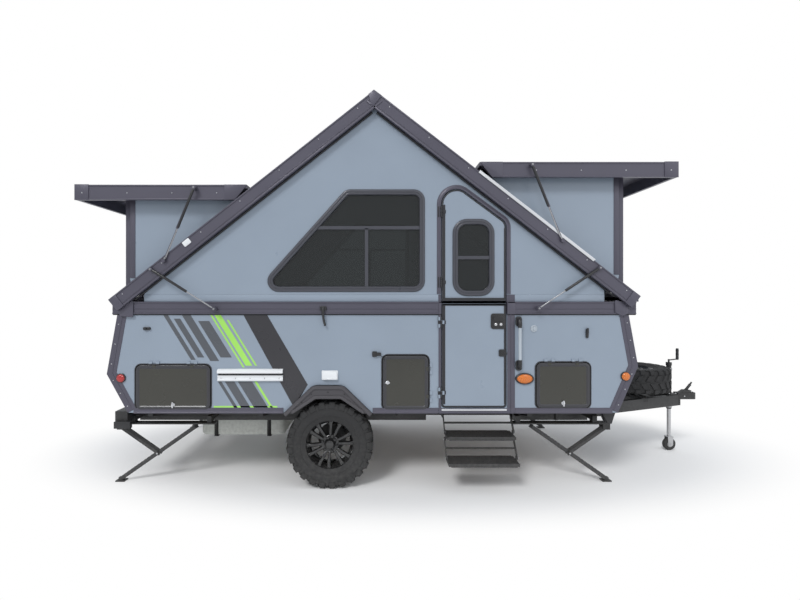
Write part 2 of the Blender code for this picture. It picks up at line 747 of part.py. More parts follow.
def build_roofs():
    """Each roof half: a slab with a dormer opening, and a skirt down each side."""
    seat_z = BELT_TOP + SEAT
    for name, side in DORMERS.items():
        eave, up = side["eave"], side["up"]
        run, _ = slope(eave)
        mitre_x = PEAK[0] - up * SEAT

        def drop(depth):
            return PEAK[1] - depth / abs(run)
        under = on_roof(eave, eave[0], -ROOF_T)[1]
        rise = slope(eave)[1] / abs(run)
        seat_x = eave[0] + up * (seat_z - under) / rise
        slab_x = mitre_x - up * 0.001
        foot_x = eave[0] + up * EMBED
        slab_ring = [
            (foot_x, seat_z), on_roof(eave, foot_x), on_roof(eave, slab_x), on_roof(eave, slab_x, -ROOF_T),
            (seat_x, seat_z),
        ]
        slab = plate([slab_ring], -(ROOF_HALF_W - SKIRT_T / 2), ROOF_HALF_W - SKIRT_T / 2)
        skirt_ring = [
            roof_offset(eave, -SKIRT_DEEP), roof_offset(eave, SKIRT_LIP),
            (mitre_x, drop(-SKIRT_LIP)), (mitre_x, drop(SKIRT_DEEP)),
        ]
        low = on_roof(eave, side["wall"] - up * DORMER_SILL_SET)
        high = on_roof(eave, side["flange"] + up * 0.01)
        hole_ring = []
        for (x, z), height in ((low, -0.1), (high, -0.1), (high, 0.1), (low, 0.1)):
            lean = slope(eave)[1] * up * height
            hole_ring.append((x - lean, z + abs(run) * height))
        slab = cut(slab, plate([hole_ring], -DORMER_HALF_W, DORMER_HALF_W))
        skirts = [
            plate([skirt_ring], *sorted((sign * (ROOF_HALF_W - SKIRT_T), sign * ROOF_HALF_W)))
            for sign in (-1, 1)
        ]
        finish(join(slab, *skirts, *dormer_knuckles(side, False)), f"roof_{name}", "trim")


def lid_under(side):
    return side["top"] - LID_SKIN_T


def build_dormers():
    """The raised lids with their struts, the end walls and the side triangles."""
    for name, side in DORMERS.items():
        eave, up = side["eave"], side["up"]
        x0, x1 = sorted((side["lid_far"], side["hinge"]))
        flange_low = side["top"] - LID_FLANGE_DEEP
        f0, f1 = sorted((side["lid_far"], side["flange"]))
        skin = box(x0, x1, -LID_HALF_W, LID_HALF_W, lid_under(side), side["top"])
        far0, far1 = sorted((side["lid_far"], side["lid_far"] + up * LID_FLANGE_T))
        flange_top = side["top"] - LID_FLANGE_SET
        pieces = [box(far0, far1, -LID_HALF_W, LID_HALF_W, flange_low, flange_top)]
        for sign in (-1, 1):
            y0, y1 = sorted((sign * (LID_HALF_W - LID_FLANGE_T), sign * LID_HALF_W))
            pieces.append(box(f0, f1, y0, y1, flange_low, flange_top))
        hinge = [
            (side["hinge"], side["top"] - EMBED), on_roof(eave, side["hinge"], SEAT),
            on_roof(eave, side["hinge"] - up * LID_POST_T, SEAT),
            (side["hinge"] - up * LID_POST_T, side["top"] - EMBED),
        ]
        pieces.append(plate([hinge], -DORMER_SIDE_IN, DORMER_SIDE_IN))
        head = (side["hinge"] - up * LID_STRUT_HEAD, side["top"] - LID_STRUT_DROP, LID_HALF_W - EMBED)
        foot_place = on_roof(eave, side["hinge"] - up * LID_STRUT_FOOT, -LID_STRUT_FOOT_DROP)
        foot = (*foot_place, ROOF_HALF_W + SEAT)
        pieces += [gas_strut(foot, head, sign) for sign in (-1, 1)]
        finish(join(skin, *pieces), f"dormer_lid_{name}", "trim")

        wall_x = side["wall"]
        pin_x, foot_z = dormer_pin(side)
        w0, w1 = sorted((wall_x, wall_x + up * DORMER_WALL_T))
        top = lid_under(side) - RUN
        half = DORMER_WALL_HALF_W
        wall_ring = [(-half, foot_z), (half, foot_z), (half, top), (-half, top)]
        glass = window_ring(side)
        wall = plate([wall_ring, rounded(glass, DORMER_WINDOW_R)], w0, w1, "X")
        pin = (pin_x, 0, foot_z)
        finish(join(wall, *dormer_knuckles(side, True)), f"dormer_wall_{name}", "panel", pin)
        unit = window_unit(glass, DORMER_WINDOW_R, wall_x + up * DORMER_WALL_T, wall_x, "X", [])
        finish(unit, f"dormer_window_{name}", "glass", pin)

        start_x = wall_x + up * (DORMER_WALL_T + RUN)
        end_x = side["flange"]
        toe_x, toe_z = DORMER_TOE
        heel = on_roof(eave, start_x, SIDE_LIFT)
        ring = [
            on_roof(eave, start_x + up * toe_x, SIDE_LIFT), (start_x, heel[1] + toe_z), (start_x, top),
            (end_x, top), on_roof(eave, end_x, SIDE_LIFT),
        ]
        for label, sign in (("near", -1), ("far", 1)):
            low, high = sorted((sign * DORMER_SIDE_IN, sign * (DORMER_SIDE_IN + DORMER_SIDE_T)))
            finish(plate([ring], low, high), f"dormer_side_{name}_{label}", "panel",
                   (heel[0], sign * DORMER_SIDE_IN, heel[1]))


def window_ring(side):
    """The window in a dormer's end wall, as (y, z)."""
    low = on_roof(side["eave"], side["wall"])[1] + DORMER_WINDOW_SET
    high = side["top"] - DORMER_WINDOW_SET
    half = DORMER_WINDOW_HALF_W
    return [(-half, low), (half, low), (half, high), (-half, high)]


def window_unit(corners, radius, inside, outside, across, bars):
    """A frame that fills its hole, with a pane in it and flanges lapping both faces by nothing."""
    low, high = sorted((inside, outside))
    middle = (low + high) / 2
    outer = rounded(inset(corners, 0.0008), radius - 0.0008)
    inner = rounded(inset(corners, WINDOW_FRAME * 0.6), max(radius - WINDOW_FRAME * 0.6, 0.02))
    frame = plate([outer, inner], low, high, across)
    pane_ring = rounded(inset(corners, WINDOW_FRAME * 0.4), max(radius - WINDOW_FRAME * 0.4, 0.02))
    pane = plate([pane_ring], middle - GLASS_T / 2, middle + GLASS_T / 2, across)
    pieces = [pane]
    for ring in bars:
        pieces.append(plate([ring], low + BAR_SET, high - BAR_SET, across))
    return join(frame, *pieces)


# Gables and doors

def gable_top(x):
    """How high a gable may reach above x, under the roof's slab."""
    eave = REAR_EAVE if x < PEAK[0] else FRONT_EAVE
    return on_roof(eave, x, -ROOF_T)[1] - GABLE_CLEAR


def door_hole():
    """The upper door's opening, open at its foot, as corners and radii."""
    foot = BELT_TOP - 0.2
    rear, front = DOOR_REAR_X, DOOR_FRONT_X
    rear_top, peak, front_top = DOOR_HEAD
    corners = [(rear, foot), (rear, rear_top), peak, (front, front_top), (front, foot)]
    return corners, [0, *DOOR_HEAD_R, 0]


def build_gables():
    """The two gables that stand on the belt rail, with their windows and the upper door."""
    for name, sign in (("near", -1), ("far", 1)):
        foot = BELT_TOP + (GABLE_RISE if sign < 0 else 0) + SEAT
        low, high = sorted((sign * (GABLE_OUT - GABLE_T), sign * GABLE_OUT))
        outline = [
            (GABLE_REAR_X, foot), (GABLE_FRONT_X, foot), (GABLE_FRONT_X, gable_top(GABLE_FRONT_X)),
            (PEAK[0], gable_top(PEAK[0])), (GABLE_REAR_X, gable_top(GABLE_REAR_X)),
        ]
        gable = plate([outline, rounded(GABLE_WINDOW, GABLE_WINDOW_R)], low, high)
        if sign < 0:
            corners, radii = door_hole()
            gable = cut(gable, plate([rounded(corners, radii)], low - 0.01, high + 0.01))
            gable = join(gable, *door_knuckles(UPPER_HINGE_Z, -GABLE_OUT, False))
        pivot = (0, sign * (GABLE_OUT - GABLE_T), foot)
        finish(gable, f"gable_{name}", "panel", pivot)
        unit = window_unit(GABLE_WINDOW, GABLE_WINDOW_R, sign * (GABLE_OUT - GABLE_T - WINDOW_PROUD),
                           sign * (GABLE_OUT + WINDOW_PROUD), "Y", GABLE_BARS)
        finish(unit, f"gable_window_{name}", "glass", pivot)

    corners, radii = door_hole()
    corners = [(x, DOOR_SPLIT_Z + RUN if z < BELT_TOP else z) for x, z in corners]
    ring = inset(corners, RUN)
    leaf_y = (-GABLE_OUT - LEAF_PROUD, -(GABLE_OUT - GABLE_T) - LEAF_SET)
    edge = rounded(ring, [0, *[r - RUN for r in DOOR_HEAD_R], 0])
    leaf = plate([edge, rounded(DOOR_WINDOW, DOOR_WINDOW_R)], *leaf_y)
    hinge = (DOOR_REAR_X, DOOR_PIN_Y, 0)
    leaf = join(leaf, *door_knuckles(UPPER_HINGE_Z, leaf_y[0], True))
    finish(leaf, "door_upper", "panel", hinge)
    x0, x1, z0, z1 = DOOR_BAR
    bars = [[(x0, z0), (x1, z0), (x1, z1), (x0, z1)]]
    faces = leaf_y[1] + WINDOW_PROUD, leaf_y[0] - WINDOW_PROUD
    unit = window_unit(DOOR_WINDOW, DOOR_WINDOW_R, *faces, "Y", bars)
    finish(unit, "door_window", "glass", hinge)

    ring = [
        (DOOR_REAR_X + RUN, DOOR_LOW_Z + RUN), (DOOR_FRONT_X - RUN, DOOR_LOW_Z + RUN),
        (DOOR_FRONT_X - RUN, DOOR_SPLIT_Z - DOOR_TOP_GAP), (DOOR_REAR_X + RUN, DOOR_SPLIT_Z - DOOR_TOP_GAP),
    ]
    leaf = plate([rounded(ring, [LEAF_R, LEAF_R, LEAF_SMALL_R, LEAF_SMALL_R])], *leaf_y)
    leaf = join(leaf, *door_knuckles(LOWER_HINGE_Z, leaf_y[0], True))
    finish(leaf, "door_lower", "panel", hinge)


def build_baggage():
    """Baggage doors, each hinged just outside its frame."""
    outside = -(HALF_W + BAGGAGE_PROUD)
    for name, (x0, x1, z0, z1, edge) in BAGGAGE.items():
        leaf = plate([baggage_ring(name, RUN)], outside, outside + BAGGAGE_T)
        pivot = (0, BAGGAGE_PIN_Y, z1) if edge == "top" else (x1, BAGGAGE_PIN_Y, 0)
        leaf = join(leaf, *baggage_knuckles(name, True))
        finish(leaf, f"baggage_door_{name}", "baggage", pivot)


# Running gear

def wheel_profile(half):
    """A rim barrel's profile, with its flanges and the drop centre."""
    return [
        (RIM_R, half), (RIM_R - 0.004, half - 0.014), (RIM_R - 0.024, half - 0.05),
        (RIM_R - 0.024, -half + 0.05), (RIM_R - 0.004, -half + 0.014), (RIM_R, -half),
        (RIM_R - 0.012, -half), (RIM_R - 0.034, -half + 0.05),
        (RIM_R - 0.034, half - 0.05), (RIM_R - 0.012, half),
    ]


def tyre_profile():
    """A tyre's profile: tread, shoulders, sidewalls and the beads on the rim."""
    half = TYRE_W / 2
    bead = RIM_R + SEAT
    outside = [
        (TYRE_R, half * TREAD_HALF), (TYRE_R - SHOULDER_DROP, half * SHOULDER_HALF),
        (TYRE_R - SIDE_DROP, half), (bead, half * BEAD_HALF),
    ]
    inside = [
        (bead, half * BEAD_IN), (TYRE_R - 2 * TREAD_SKIN, half * CAVITY_HALF),
        (TYRE_R - TREAD_SKIN, half * (TREAD_HALF - 0.02)),
    ]
    side = outside + inside
    return [(radius, -height) for radius, height in side] + side[::-1]


def spoke_disc(low, high):
    """The wheel's face: a disc with a window between each pair of spokes."""
    rim = RIM_R - 0.030
    rings = [circle(0, 0, rim, ROUND)]
    inner, outer, crown = SPOKE_WINDOW
    narrow, wide = SPOKE_ANGLES
    for index in range(SPOKES):
        middle = 2 * math.pi * (index + 0.5) / SPOKES
        corners = []
        for radius, angle in ((outer, -wide), (crown, 0), (outer, wide), (inner, narrow), (inner, -narrow)):
            corners.append((radius * math.cos(middle + angle), radius * math.sin(middle + angle)))
        rings.append(corners)
    return plate(rings, low, high, "Z")


def make_wheel():
    """A wheel lying flat, its face up."""
    barrel = turned(wheel_profile(WHEEL_HALF), ROUND)
    face = spoke_disc(*SPOKE_FACE)
    cap = rod((0, 0, SPOKE_FACE[0] - 0.005), (0, 0, CAP_TOP), CAP_R, 24)
    boss = rod((0, 0, -BOSS_BACK), (0, 0, SPOKE_FACE[0] + 0.001), BOSS_R, 24)
    boss = cut(boss, rod((0, 0, -BOSS_BACK - 0.015), (0, 0, HUB_DEEP - BOSS_BACK), HUB_BORE_R, 24))
    return join(barrel, face, boss, cap)


def build_wheels():
    """Tyres and wheels on the axle, and the spare lying on the tongue."""
    wheel = make_wheel()
    tyre = turned(tyre_profile(), ROUND)
    for name, sign in (("near", -1), ("far", 1)):
        turn = Matrix.Rotation(math.radians(-90 * sign), 4, "X")
        place = Matrix.Translation((0, sign * WHEEL_Y, TYRE_R)) @ turn
        for source, label, material in ((wheel, "wheel", "wheel"), (tyre, "tyre", "rubber")):
            mesh = source.data.copy()
            mesh.transform(place)
            finish(tidy_mesh(scratch(mesh)), f"{label}_{name}", material, (0, sign * WHEEL_Y, TYRE_R))
    lift = Matrix.Translation((SPARE_X, 0, SPARE_Z0 + TYRE_W / 2))
    wheel.data.transform(lift)
    tyre.data.transform(lift)
    finish(wheel, "spare_wheel", "wheel")
    finish(tyre, "spare_tyre", "rubber")


def build_axle():
    """A rubber-sprung axle: a square tube with trailing arms, drums and spindles."""
    x, z = AXLE_TUBE
    half = AXLE_TUBE_W / 2
    low = ARM_Y + ARM_T / 2
    axle = box(x - half, x + half, -ARM_Y, ARM_Y, z - half, RAIL_LOW - SEAT)
    pieces = []
    for sign in (-1, 1):
        arm = [
            (x + ARM_HALF_W, z + ARM_UP), (x - 0.04, z + ARM_UP), (-ARM_HALF_W, TYRE_R + ARM_UP),
            (-ARM_HALF_W, TYRE_R - ARM_HALF_W), (0.05, TYRE_R - ARM_HALF_W), (x + ARM_HALF_W, z - ARM_HALF_W),
        ]
        ring = rounded(arm, ARM_R, 2)
        pieces.append(plate([ring], *sorted((sign * (ARM_Y - ARM_T / 2), sign * low))))
        drum_y, spindle_y = low + DRUM_W, WHEEL_Y - EMBED
        pieces.append(rod((0, sign * (low - EMBED), TYRE_R), (0, sign * drum_y, TYRE_R), DRUM_R, 28))
        pieces.append(rod((0, sign * (drum_y - EMBED), TYRE_R), (0, sign * spindle_y, TYRE_R), SPINDLE_R, 20))
    finish(join(axle, *pieces), "axle", "chassis")


def build_chassis():
    """Main rails, cross members, outriggers, tongue, bumper, step hangers and stabiliser rails."""
    rails = []
    for sign in (-1, 1):
        y0, y1 = sign * RAIL_Y - RAIL_W / 2, sign * RAIL_Y + RAIL_W / 2
        rails.append(box(RAIL_REAR_X, RAIL_FRONT_X, y0, y1, RAIL_LOW, RAIL_TOP))
    base = rails[0]
    pieces = [rails[1]]
    root_y = RAIL_Y + TONGUE_ROOT_OUT
    for x in CROSS_X:
        x0, x1 = x - CROSS_W / 2, x + CROSS_W / 2
        pieces.append(box(x0, x1, -RAIL_Y, RAIL_Y, RAIL_LOW + CROSS_SET, RAIL_TOP - CROSS_DROP))
    for x in OUTRIGGER_X:
        for sign in (-1, 1):
            end_y, top = HALF_W - OUTRIGGER_SET, RAIL_TOP - 0.001
            ring = [(sign * RAIL_Y, RAIL_LOW + 0.006), (sign * end_y, top - OUTRIGGER_TIP),
                    (sign * end_y, top), (sign * RAIL_Y, top)]
            pieces.append(plate([ring], x - OUTRIGGER_W / 2, x + OUTRIGGER_W / 2, "X"))
    for sign in (-1, 1):
        start = Vector((TONGUE_ROOT_X, sign * root_y, (TONGUE_LOW + TONGUE_TOP) / 2))
        end = Vector((TONGUE_APEX_X, sign * TONGUE_APEX_Y, (TONGUE_LOW + TONGUE_TOP) / 2))
        pieces.append(bar(start, end, TONGUE_W, TONGUE_TOP - TONGUE_LOW))
    nose_y = TONGUE_APEX_Y + NOSE_SIDE
    nose_low, nose_top = TONGUE_LOW + 0.002, TONGUE_TOP - 0.002
    nose_x0, nose_x1 = TONGUE_APEX_X - NOSE_BACK, TONGUE_APEX_X + NOSE_OUT
    pieces.append(box(nose_x0, nose_x1, -nose_y, nose_y, nose_low, nose_top))
    for x, reach in TONGUE_TIES:
        share = (x - TONGUE_ROOT_X) / (TONGUE_APEX_X - TONGUE_ROOT_X)
        y = root_y + share * (TONGUE_APEX_Y - root_y) + reach
        pieces.append(box(x - TIE_W / 2, x + TIE_W / 2, -y, y, TONGUE_LOW + 0.02, TONGUE_TOP - 0.002))
    x, y = SPARE_PLATE
    pieces.append(box(SPARE_X - x, SPARE_X + x, -y, y, TONGUE_TOP - 0.03, TONGUE_TOP + 0.006))
    post_top = SPARE_Z0 + TYRE_W / 2 - BOSS_BACK - SEAT
    pieces.append(rod((SPARE_X, 0, TONGUE_TOP - 0.02), (SPARE_X, 0, post_top), SPARE_POST_R, 16))
    b = BUMPER
    bumper_y = HALF_W - b["end"]
    pieces.append(box(b["x0"], b["x1"], -bumper_y, bumper_y, b["z0"], b["z1"]))
    for name, (pivot_x, way) in STAB_ENDS.items():
        for sign in (-1, 1):
            y = sign * STAB_Y
            x0, x1 = sorted((pivot_x - way * STAB_RAIL_BACK, pivot_x + way * STAB_RAIL_REACH))
            rail_low = STAB_PIVOT_Z + STAB_RAIL_UP
            edge_y = STAB_EAR_Y + STAB_EAR_T / 2
            pieces.append(box(x0, x1, y - edge_y, y + edge_y, rail_low, rail_low + STAB_RAIL_T))
            for along in STAB_HANGERS:
                x0 = pivot_x + way * along - STAB_HANGER_W / 2
                x1 = x0 + STAB_HANGER_W
                hanger_low = rail_low + STAB_RAIL_T - EMBED
                pieces.append(box(x0, x1, y - 0.030, y + 0.030, hanger_low, RAIL_LOW + 0.03))
                y0, y1 = sorted((sign * RAIL_Y, y + sign * 0.030))
                pieces.append(box(x0, x1, y0, y1, RAIL_LOW + 0.004, RAIL_LOW + 0.045))
            x0, x1 = pivot_x - STAB_RAIL_BACK, pivot_x + STAB_RAIL_BACK
            for edge in (-1, 1):
                ear = y + edge * STAB_EAR_Y
                y0, y1 = ear - STAB_EAR_T / 2, ear + STAB_EAR_T / 2
                pieces.append(box(x0, x1, y0, y1, STAB_PIVOT_Z - 0.016, rail_low + EMBED))
    y0, z0 = STEP_PIVOT
    for x in (STEP_X0 - STEP_HANGER_OUT, STEP_X1 + STEP_HANGER_OUT):
        ring = [
            (y0 - 0.05, z0 - 0.02), (y0 + 0.03, z0 - 0.02), (-RAIL_Y, z0 + 0.01), (-RAIL_Y, RAIL_TOP - 0.001),
            (y0 - 0.05, RAIL_TOP - 0.001),
        ]
        pieces.append(plate([ring], x - STEP_HANGER_T / 2, x + STEP_HANGER_T / 2, "X"))
    finish(join(base, *pieces), "chassis", "chassis")


def build_coupler():
    """The ball coupler on the tongue's tip, with its latch lever."""
    z0, z1 = TONGUE_TOP - 0.052, TONGUE_TOP + 0.014
    back = TONGUE_APEX_X + NOSE_OUT + SEAT
    nose, side = COUPLER_NOSE_X, COUPLER_HALF_W
    corners = [(back, -side), (nose, -side), (nose, side), (back, side)]
    body = plate([rounded(corners, [0, COUPLER_NOSE_R, COUPLER_NOSE_R, 0], 5)], z0, z1, "Z")
    ball_x = nose - BALL_BACK
    socket = rod((ball_x, 0, z0 - 0.01), (ball_x, 0, z0 + 0.045), BALL_R, 20)
    body = cut(body, socket)
    lever = bar((nose - LEVER_BACK, 0, z1 - EMBED), (ball_x, 0, z1 + 0.085), 0.022, 0.014, (0, 1, 0))
    finish(join(body, lever), "coupler", "chassis")


def build_jack():
    """The tongue jack: fixed tube and crank, sliding leg, and the caster wheel."""
    leg_low = 2 * JACK_WHEEL_R + 0.012
    bore, bore_top = JACK_LEG_R + SEAT, JACK_TOP_Z - 0.03
    tube = turned([
        (JACK_TUBE_R, JACK_TOP_Z), (JACK_TUBE_R, JACK_TUBE_LOW), (bore, JACK_TUBE_LOW), (bore, bore_top),
        (0.001, bore_top), (0.001, JACK_TOP_Z),
    ], 20)
    tube.data.transform(Matrix.Translation((JACK_X, 0, 0)))
    cap = rod((JACK_X, 0, JACK_TOP_Z - 0.02), (JACK_X, 0, JACK_TOP_Z + 0.012), 0.029, 20)
    screw = rod((JACK_X, 0, JACK_TOP_Z), (JACK_X, 0, JACK_TOP_Z + 0.045), 0.009, 10)
    arm_z = JACK_TOP_Z + 0.035
    arm = bar((JACK_X - 0.008, 0, arm_z), (JACK_X + 0.095, 0, arm_z + 0.012), 0.014, 0.010)
    grip = rod((JACK_X + 0.09, 0, arm_z + 0.004), (JACK_X + 0.09, 0, arm_z + 0.125), 0.012, 12)
    flange_ring = [
        (JACK_X - 0.048, -0.075), (JACK_X + 0.048, -0.075), (JACK_X + 0.048, 0.075), (JACK_X - 0.048, 0.075),
    ]
    flange_z = TONGUE_TOP + SEAT
    flange = plate([flange_ring, circle(JACK_X, 0, JACK_TUBE_R - 0.002, 20)], flange_z, flange_z + 0.008, "Z")
    finish(join(tube, cap, screw, arm, grip, flange), "jack_tube", "chassis")

    leg_top = JACK_TOP_Z - 0.03 - RUN - JACK_TRAVEL
    leg = rod((JACK_X, 0, leg_low), (JACK_X, 0, leg_top), JACK_LEG_R, 20)
    axle_z = JACK_WHEEL_R
    yoke = box(JACK_X - 0.028, JACK_X + 0.028, -0.034, 0.034, leg_low - 0.004, leg_low + 0.006)
    pieces = [yoke]
    for sign in (-1, 1):
        fork = [
            (JACK_X - 0.024, axle_z - 0.02), (JACK_X + 0.024, axle_z - 0.02),
            (JACK_X + 0.028, leg_low + 0.004), (JACK_X - 0.028, leg_low + 0.004),
        ]
        ring = rounded(fork, [0.018, 0.018, 0, 0], 3)
        pieces.append(plate([ring], *sorted((sign * 0.029, sign * 0.034))))
    finish(join(leg, *pieces), "jack_leg", "zinc")

    half = 0.024
    profile = [
        (JACK_WHEEL_R, half * 0.5), (JACK_WHEEL_R, -half * 0.5), (JACK_WHEEL_R - 0.008, -half),
        (0.022, -half), (0.020, -half - 0.0045), (0.001, -half - 0.0045), (0.001, half + 0.0045),
        (0.020, half + 0.0045), (0.022, half), (JACK_WHEEL_R - 0.008, half),
    ]
    wheel = turned(profile, ROUND)
    wheel.data.transform(Matrix.Translation((JACK_X, 0, axle_z)) @ Matrix.Rotation(math.radians(90), 4, "X"))
    finish(wheel, "jack_wheel", "rubber", (JACK_X, 0, axle_z))


def build_stabilisers():
    """Scissor stabilisers: a brace hung from the rail and a leg pinned to it half-way."""
    reach = STAB_LINK + STAB_FOOT
    lean = math.asin((STAB_PIVOT_Z - STAB_PAD_T - 0.012) / reach)
    for end, (pivot_x, way) in STAB_ENDS.items():
        for label, sign in (("near", -1), ("far", 1)):
            y = sign * STAB_Y
            pivot = Vector((pivot_x, y, STAB_PIVOT_Z))
            along = Vector((way * math.cos(lean), 0, -math.sin(lean)))
            back = Vector((-way * math.cos(lean), 0, -math.sin(lean)))
            middle = pivot + along * STAB_LINK
            top = middle - back * STAB_LINK
            foot = middle + back * STAB_FOOT
            ear = Vector((0, STAB_EAR_Y - STAB_EAR_T / 2 - SEAT, 0))
            brace = rod(pivot - ear, pivot + ear, 0.013, 14)
            inner = STAB_LEG_W / 2 + SEAT
            for edge in (-1, 1):
                shift = Vector((0, edge * (inner + STAB_BAR_T / 2), 0))
                upper, lower = pivot + shift - along * 0.012, middle + shift + along * 0.022
                strip = bar(upper, lower, STAB_BAR_T, STAB_BAR_H)
                knob = rod(middle + shift, middle + shift + Vector((0, edge * 0.010, 0)), 0.012, 12)
                brace = join(brace, strip, knob)
            leg = bar(top - back * 0.018, foot, STAB_LEG_W - 0.006, 0.034)
            boss_half, axle_half = Vector((0, STAB_LEG_W / 2, 0)), Vector((0, 0.030, 0))
            boss = rod(middle - boss_half, middle + boss_half, 0.014, 14)
            axle = rod(top - axle_half, top + axle_half, 0.010, 12)
            pad = box(foot.x - 0.040, foot.x + 0.040, y - 0.034, y + 0.034, 0, STAB_PAD_T)
            stub_low, stub_high = STAB_PAD_T - EMBED, foot.z + 0.012
            stub = box(foot.x - 0.020, foot.x + 0.020, y - 0.016, y + 0.016, stub_low, stub_high)
            leg = join(leg, boss, axle, stub, pad)
            finish(brace, f"stabiliser_brace_{end}_{label}", "chassis", pivot)
            finish(leg, f"stabiliser_leg_{end}_{label}", "chassis", middle)


def step_points():
    """The step's pivots as (y, z): hanger, upper tread, lower arms, lower tread."""
    y, z = STEP_PIVOT
    dy, dz = -STEP_ARM * math.cos(STEP_ANGLE), -STEP_ARM * math.sin(STEP_ANGLE)
    upper = (y + dy, z + dz)
    bracket = (upper[0], upper[1] - STEP_BRACKET)
    return STEP_PIVOT, upper, bracket, (bracket[0] + dy, bracket[1] + dz)


def build_step():
    """Two treads on parallel arms that swing in under the floor."""
    hanger, upper, bracket, lower = step_points()
    stages = [
        # label, the arms' pivot above, the tread's pivot, how far its ears hang below it
        ("upper", hanger, upper, STEP_BRACKET),
        ("lower", bracket, lower, 0),
    ]
    x0, x1 = STEP_X0 + STEP_BAR_T / 2, STEP_X1 - STEP_BAR_T / 2
    for label, (y0, z0), (y1, z1), hang in stages:
        middle_y, middle_z = (y0 + y1) / 2, (z0 + z1) / 2
        arms = rod((x0, middle_y, middle_z), (x1, middle_y, middle_z), 0.009, 12)
        for x in (x0, x1):
            arms = join(arms, bar((x, y0, z0), (x, y1, z1), STEP_BAR_T, STEP_BAR_H))
            for y, z in ((y0, z0), (y1, z1)):
                half = STEP_BAR_T / 2 + EYE_PROUD
                arms = join(arms, rod((x - half, y, z), (x + half, y, z), 0.0165, 14))
        finish(arms, f"step_arms_{label}", "chassis", (0, y0, z0))
        edge = STEP_BAR_T + EYE_PROUD + 0.0005
        ear_x0, ear_x1 = STEP_X0 + edge, STEP_X1 - edge
        top = z1 - TREAD_DROP
        back, front = y1 - TREAD_DEEP / 2, y1 + TREAD_DEEP / 2
        tread = box(ear_x0 + 0.001, ear_x1 - 0.001, back, front, top - TREAD_T, top)
        for x, way in ((ear_x0, 1), (ear_x1, -1)):
            span = sorted((x, x + way * 0.006))
            foot = z1 - hang - (0.014 if hang else TREAD_DROP + TREAD_T - 0.002)
            ear = plate([rounded([(y1 - 0.018, foot), (y1 + 0.018, foot), (y1 + 0.018, z1 + 0.014),
                                  (y1 - 0.018, z1 + 0.014)], 0.008, 2)], *span, "X")
            tread = join(tread, ear)
        finish(tread, f"step_tread_{label}", "chassis", (0, y1, z1))


def build_tank():
    """The fresh-water tank strapped under the floor."""
    t = TANK
    x0, x1, y = t["x0"], t["x1"], t["half_y"]
    ring = rounded([(x0, -y), (x1, -y), (x1, y), (x0, y)], TANK_R, 3)
    tank = plate([ring], t["z0"], t["z1"], "Z")
    x, width, reach = TANK_STRAP
    strap = box(x - width / 2, x + width / 2, -reach, reach, t["z1"] - EMBED, RAIL_TOP)
    finish(join(tank, strap), "water_tank", "tank")


def build_furniture():
    """Bed and dinette panels with their cushions, and the galley block."""
    inner = HALF_W - WALL_T - SEAT
    floor = SILL_Z + FLOOR_T + SEAT
    bed_back = REAR_KNEE_X + WALL_T + 0.012
    seats = {
        # label, free edge x, wall end x, top z
        "bed_base": (BED_FRONT_X, bed_back, BED_TOP_Z),
        "dinette": (DINETTE_REAR_X, FRONT_KNEE_X - WALL_T - 0.012, BED_TOP_Z + 0.03),
    }
    for name, (edge, end, top) in seats.items():
        way = 1 if end > edge else -1
        x0, x1 = sorted((edge, end))
        shelf = box(x0, x1, -inner, inner, top - PLY_T, top)
        p0, p1 = sorted((edge, edge + way * PLY_T))
        panel = box(p0, p1, -inner, inner, floor, top - EMBED)
        finish(join(shelf, panel), name, "wood")
        c0, c1 = sorted((edge + way * 0.01, end - way * 0.05))
        cushion = box(c0, c1, -inner + 0.02, inner - 0.02, top + SEAT, top + CUSHION_T)
        soften = cushion.modifiers.new("soft", "BEVEL")
        soften.width = 0.02
        soften.segments = 2
        finish(applied(cushion), f"{name}_cushion", "cushion")
    g = GALLEY
    body = box(g["x0"], g["x1"], g["y0"] + 0.02, inner, floor, g["z1"] - 0.02)
    slab = box(g["x0"] - 0.01, g["x1"] + 0.01, g["y0"], inner, g["z1"] - 0.024, g["z1"])
    finish(join(body, slab), "galley", "wood")


start()
build_box()
build_floor()
build_belt()
build_fenders()
build_roofs()
build_dormers()
build_gables()
build_baggage()
build_wheels()
build_axle()
build_chassis()
build_coupler()
build_jack()
build_stabilisers()
build_step()
build_tank()
build_furniture()
bpy.context.view_layer.update()
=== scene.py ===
"""Looks of a hard-sided folding camper trailer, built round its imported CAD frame.

Every piece is made by an operator, and a panel in the sidebar lists them. Lengths along X are
written from the wheel axle, and a piece is moved to the row frame when it is placed.
"""
import json
import math

import bmesh
import bpy
from mathutils import Matrix, Vector
from mathutils.geometry import tessellate_polygon

